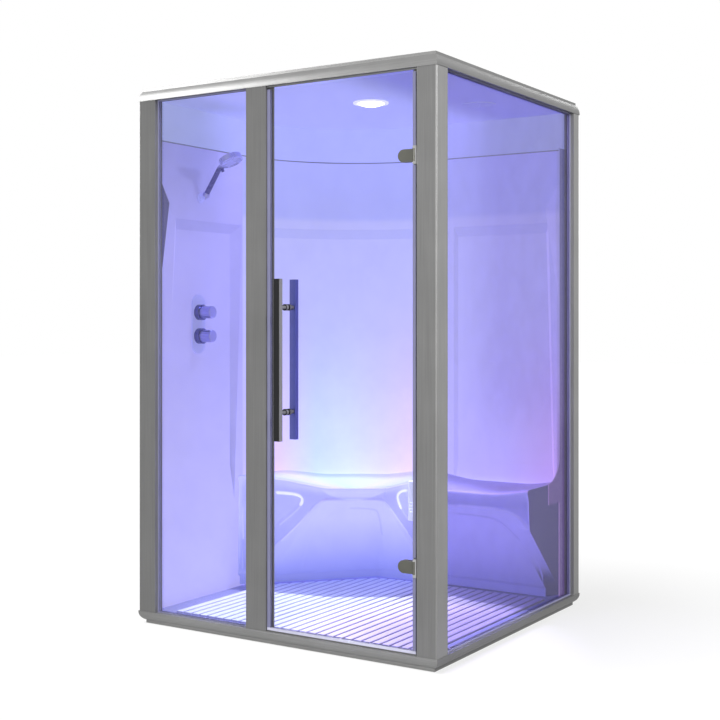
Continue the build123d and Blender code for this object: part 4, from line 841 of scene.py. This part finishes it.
def world():
    """Soft even surround, plain white where it is seen."""
    made = bpy.data.worlds.new("studio")
    bpy.context.scene.world = made
    made.use_nodes = True
    tree = made.node_tree
    tree.nodes.clear()
    path = tree.nodes.new("ShaderNodeLightPath")
    add = tree.nodes.new("ShaderNodeMath")
    add.operation = "ADD"
    more = tree.nodes.new("ShaderNodeMath")
    more.operation = "ADD"
    more.use_clamp = True
    tree.links.new(path.outputs["Is Camera Ray"], add.inputs[0])
    tree.links.new(path.outputs["Is Glossy Ray"], add.inputs[1])
    tree.links.new(add.outputs[0], more.inputs[0])
    tree.links.new(path.outputs["Is Transmission Ray"], more.inputs[1])
    strength = tree.nodes.new("ShaderNodeMapRange")
    strength.inputs["To Min"].default_value = WORLD_LIGHT
    strength.inputs["To Max"].default_value = 1.0
    tree.links.new(more.outputs[0], strength.inputs["Value"])
    background = tree.nodes.new("ShaderNodeBackground")
    background.inputs["Color"].default_value = (1, 1, 1, 1)
    tree.links.new(strength.outputs[0], background.inputs["Strength"])
    output = tree.nodes.new("ShaderNodeOutputWorld")
    tree.links.new(background.outputs[0], output.inputs["Surface"])


def aimed(name, data, toward, place=(0, 0, 0)):
    """Puts a lamp into the scene, shining in a direction."""
    light = bpy.data.objects.new(name, data)
    bpy.context.scene.collection.objects.link(light)
    light.location = place
    light.rotation_euler = toward.to_track_quat("-Z", "Y").to_euler()
    return light


def area_light(name, place, target, size, power, colour=(1, 1, 1), spread=180.0):
    """Square soft light at a place, aimed at a target."""
    data = bpy.data.lights.new(name, "AREA")
    data.shape = "RECTANGLE"
    data.size = size
    data.size_y = size
    data.energy = power
    data.color = colour
    data.spread = math.radians(spread)
    return aimed(name, data, Vector(target) - Vector(place), place)


def spot_light(name, place, target, power, colour, cone, radius=0.03):
    """Recessed ceiling light that shines down into the cabin."""
    data = bpy.data.lights.new(name, "SPOT")
    data.energy = power
    data.color = colour
    data.spot_size = math.radians(cone)
    data.spot_blend = 0.5
    data.shadow_soft_size = radius
    return aimed(name, data, target - place, place)


def sun_light(name, toward, strength, angle):
    """Wide soft light in a direction."""
    data = bpy.data.lights.new(name, "SUN")
    data.energy = strength
    data.angle = math.radians(angle)
    return aimed(name, data, Vector(toward))


def camera():
    """Camera solved from the cabin's own edges in the photograph: level, with a shifted frame."""
    data = bpy.data.cameras.new("camera")
    data.sensor_width = 36.0
    data.lens = 62.398
    data.shift_x = 0.0157
    data.shift_y = -0.0531
    made = bpy.data.objects.new("camera", data)
    bpy.context.scene.collection.objects.link(made)
    made.location = CAMERA
    made.rotation_euler = (math.radians(90), 0, YAW)
    bpy.context.scene.camera = made


def only_on(light, names, group):
    """Lets a lamp reach only the named nodes."""
    receivers = bpy.data.collections.get(group) or bpy.data.collections.new(group)
    for name in names:
        lit_object = nodes[name] if name in nodes else bpy.data.objects[name]
        if lit_object.name not in receivers.objects:
            receivers.objects.link(lit_object)
    light.light_linking.receiver_collection = receivers


WORLD_LIGHT = 0.22
stage_floor()
world()
camera()

# Studio lamps, which reach only the outside of the cabin.
OUTSIDE = "rail_x base_x rail_y post rubber sheet foot dark hinge leaf seal sweep"
outside = [name for look in OUTSIDE.split() for name in looks[look].split()]
for name, place, target, size, power in (
    ("key_front", (1.6, -6.2, 2.4), (0, -0.6, 1.1), 2.6, 300),
    ("fill_right", (4.8, -1.0, 4.2), (0.6, 0, 1.2), 2.4, 490),
    ("fill_left", (-5.0, 0.3, 3.2), (-0.6, 0, 1.1), 2.6, 190),
    ("back_fill", (-0.6, 5.4, 3.2), (0, 0, 1.1), 2.6, 190),
):
    only_on(area_light(name, place, target, size, power), outside, "outside")
only_on(area_light("rail_highlight", (-1.3, -1.6, 2.6), (-0.5, -0.6, 2.1), 0.7, 34),
        ["top_rail_front"], "top_front")
only_on(sun_light("floor_sun", (0.25, 0.35, -1), 3.6, 30), ["studio_floor"], "floor")

# Lamps in the cabin's ceiling. The last one casts the hand shower's shadow on the left wall.
LAMP = at(762, 550, 2080)
area_light("cabin_lamp", LAMP, at(762, 550, 0), 0.10, 2.0, (0.65, 0.67, 1.0), 120)
spot_light("cabin_led_left", at(342, 829, 2088), at(760, 400, 55), 170, (0.93, 0.96, 1.0), 46)
spot_light("cabin_led_right", at(1130, 1080, 2088), at(1200, 300, 55), 120, (0.74, 0.62, 1.0), 32)
only_on(spot_light("cabin_lamp_side", LAMP, at(50, 310, 1750), 8, (0.9, 0.9, 1.0), 70, 0.04),
        ["wall_liner_left"], "left_wall")

bpy.context.scene.view_settings.view_transform = "Standard"
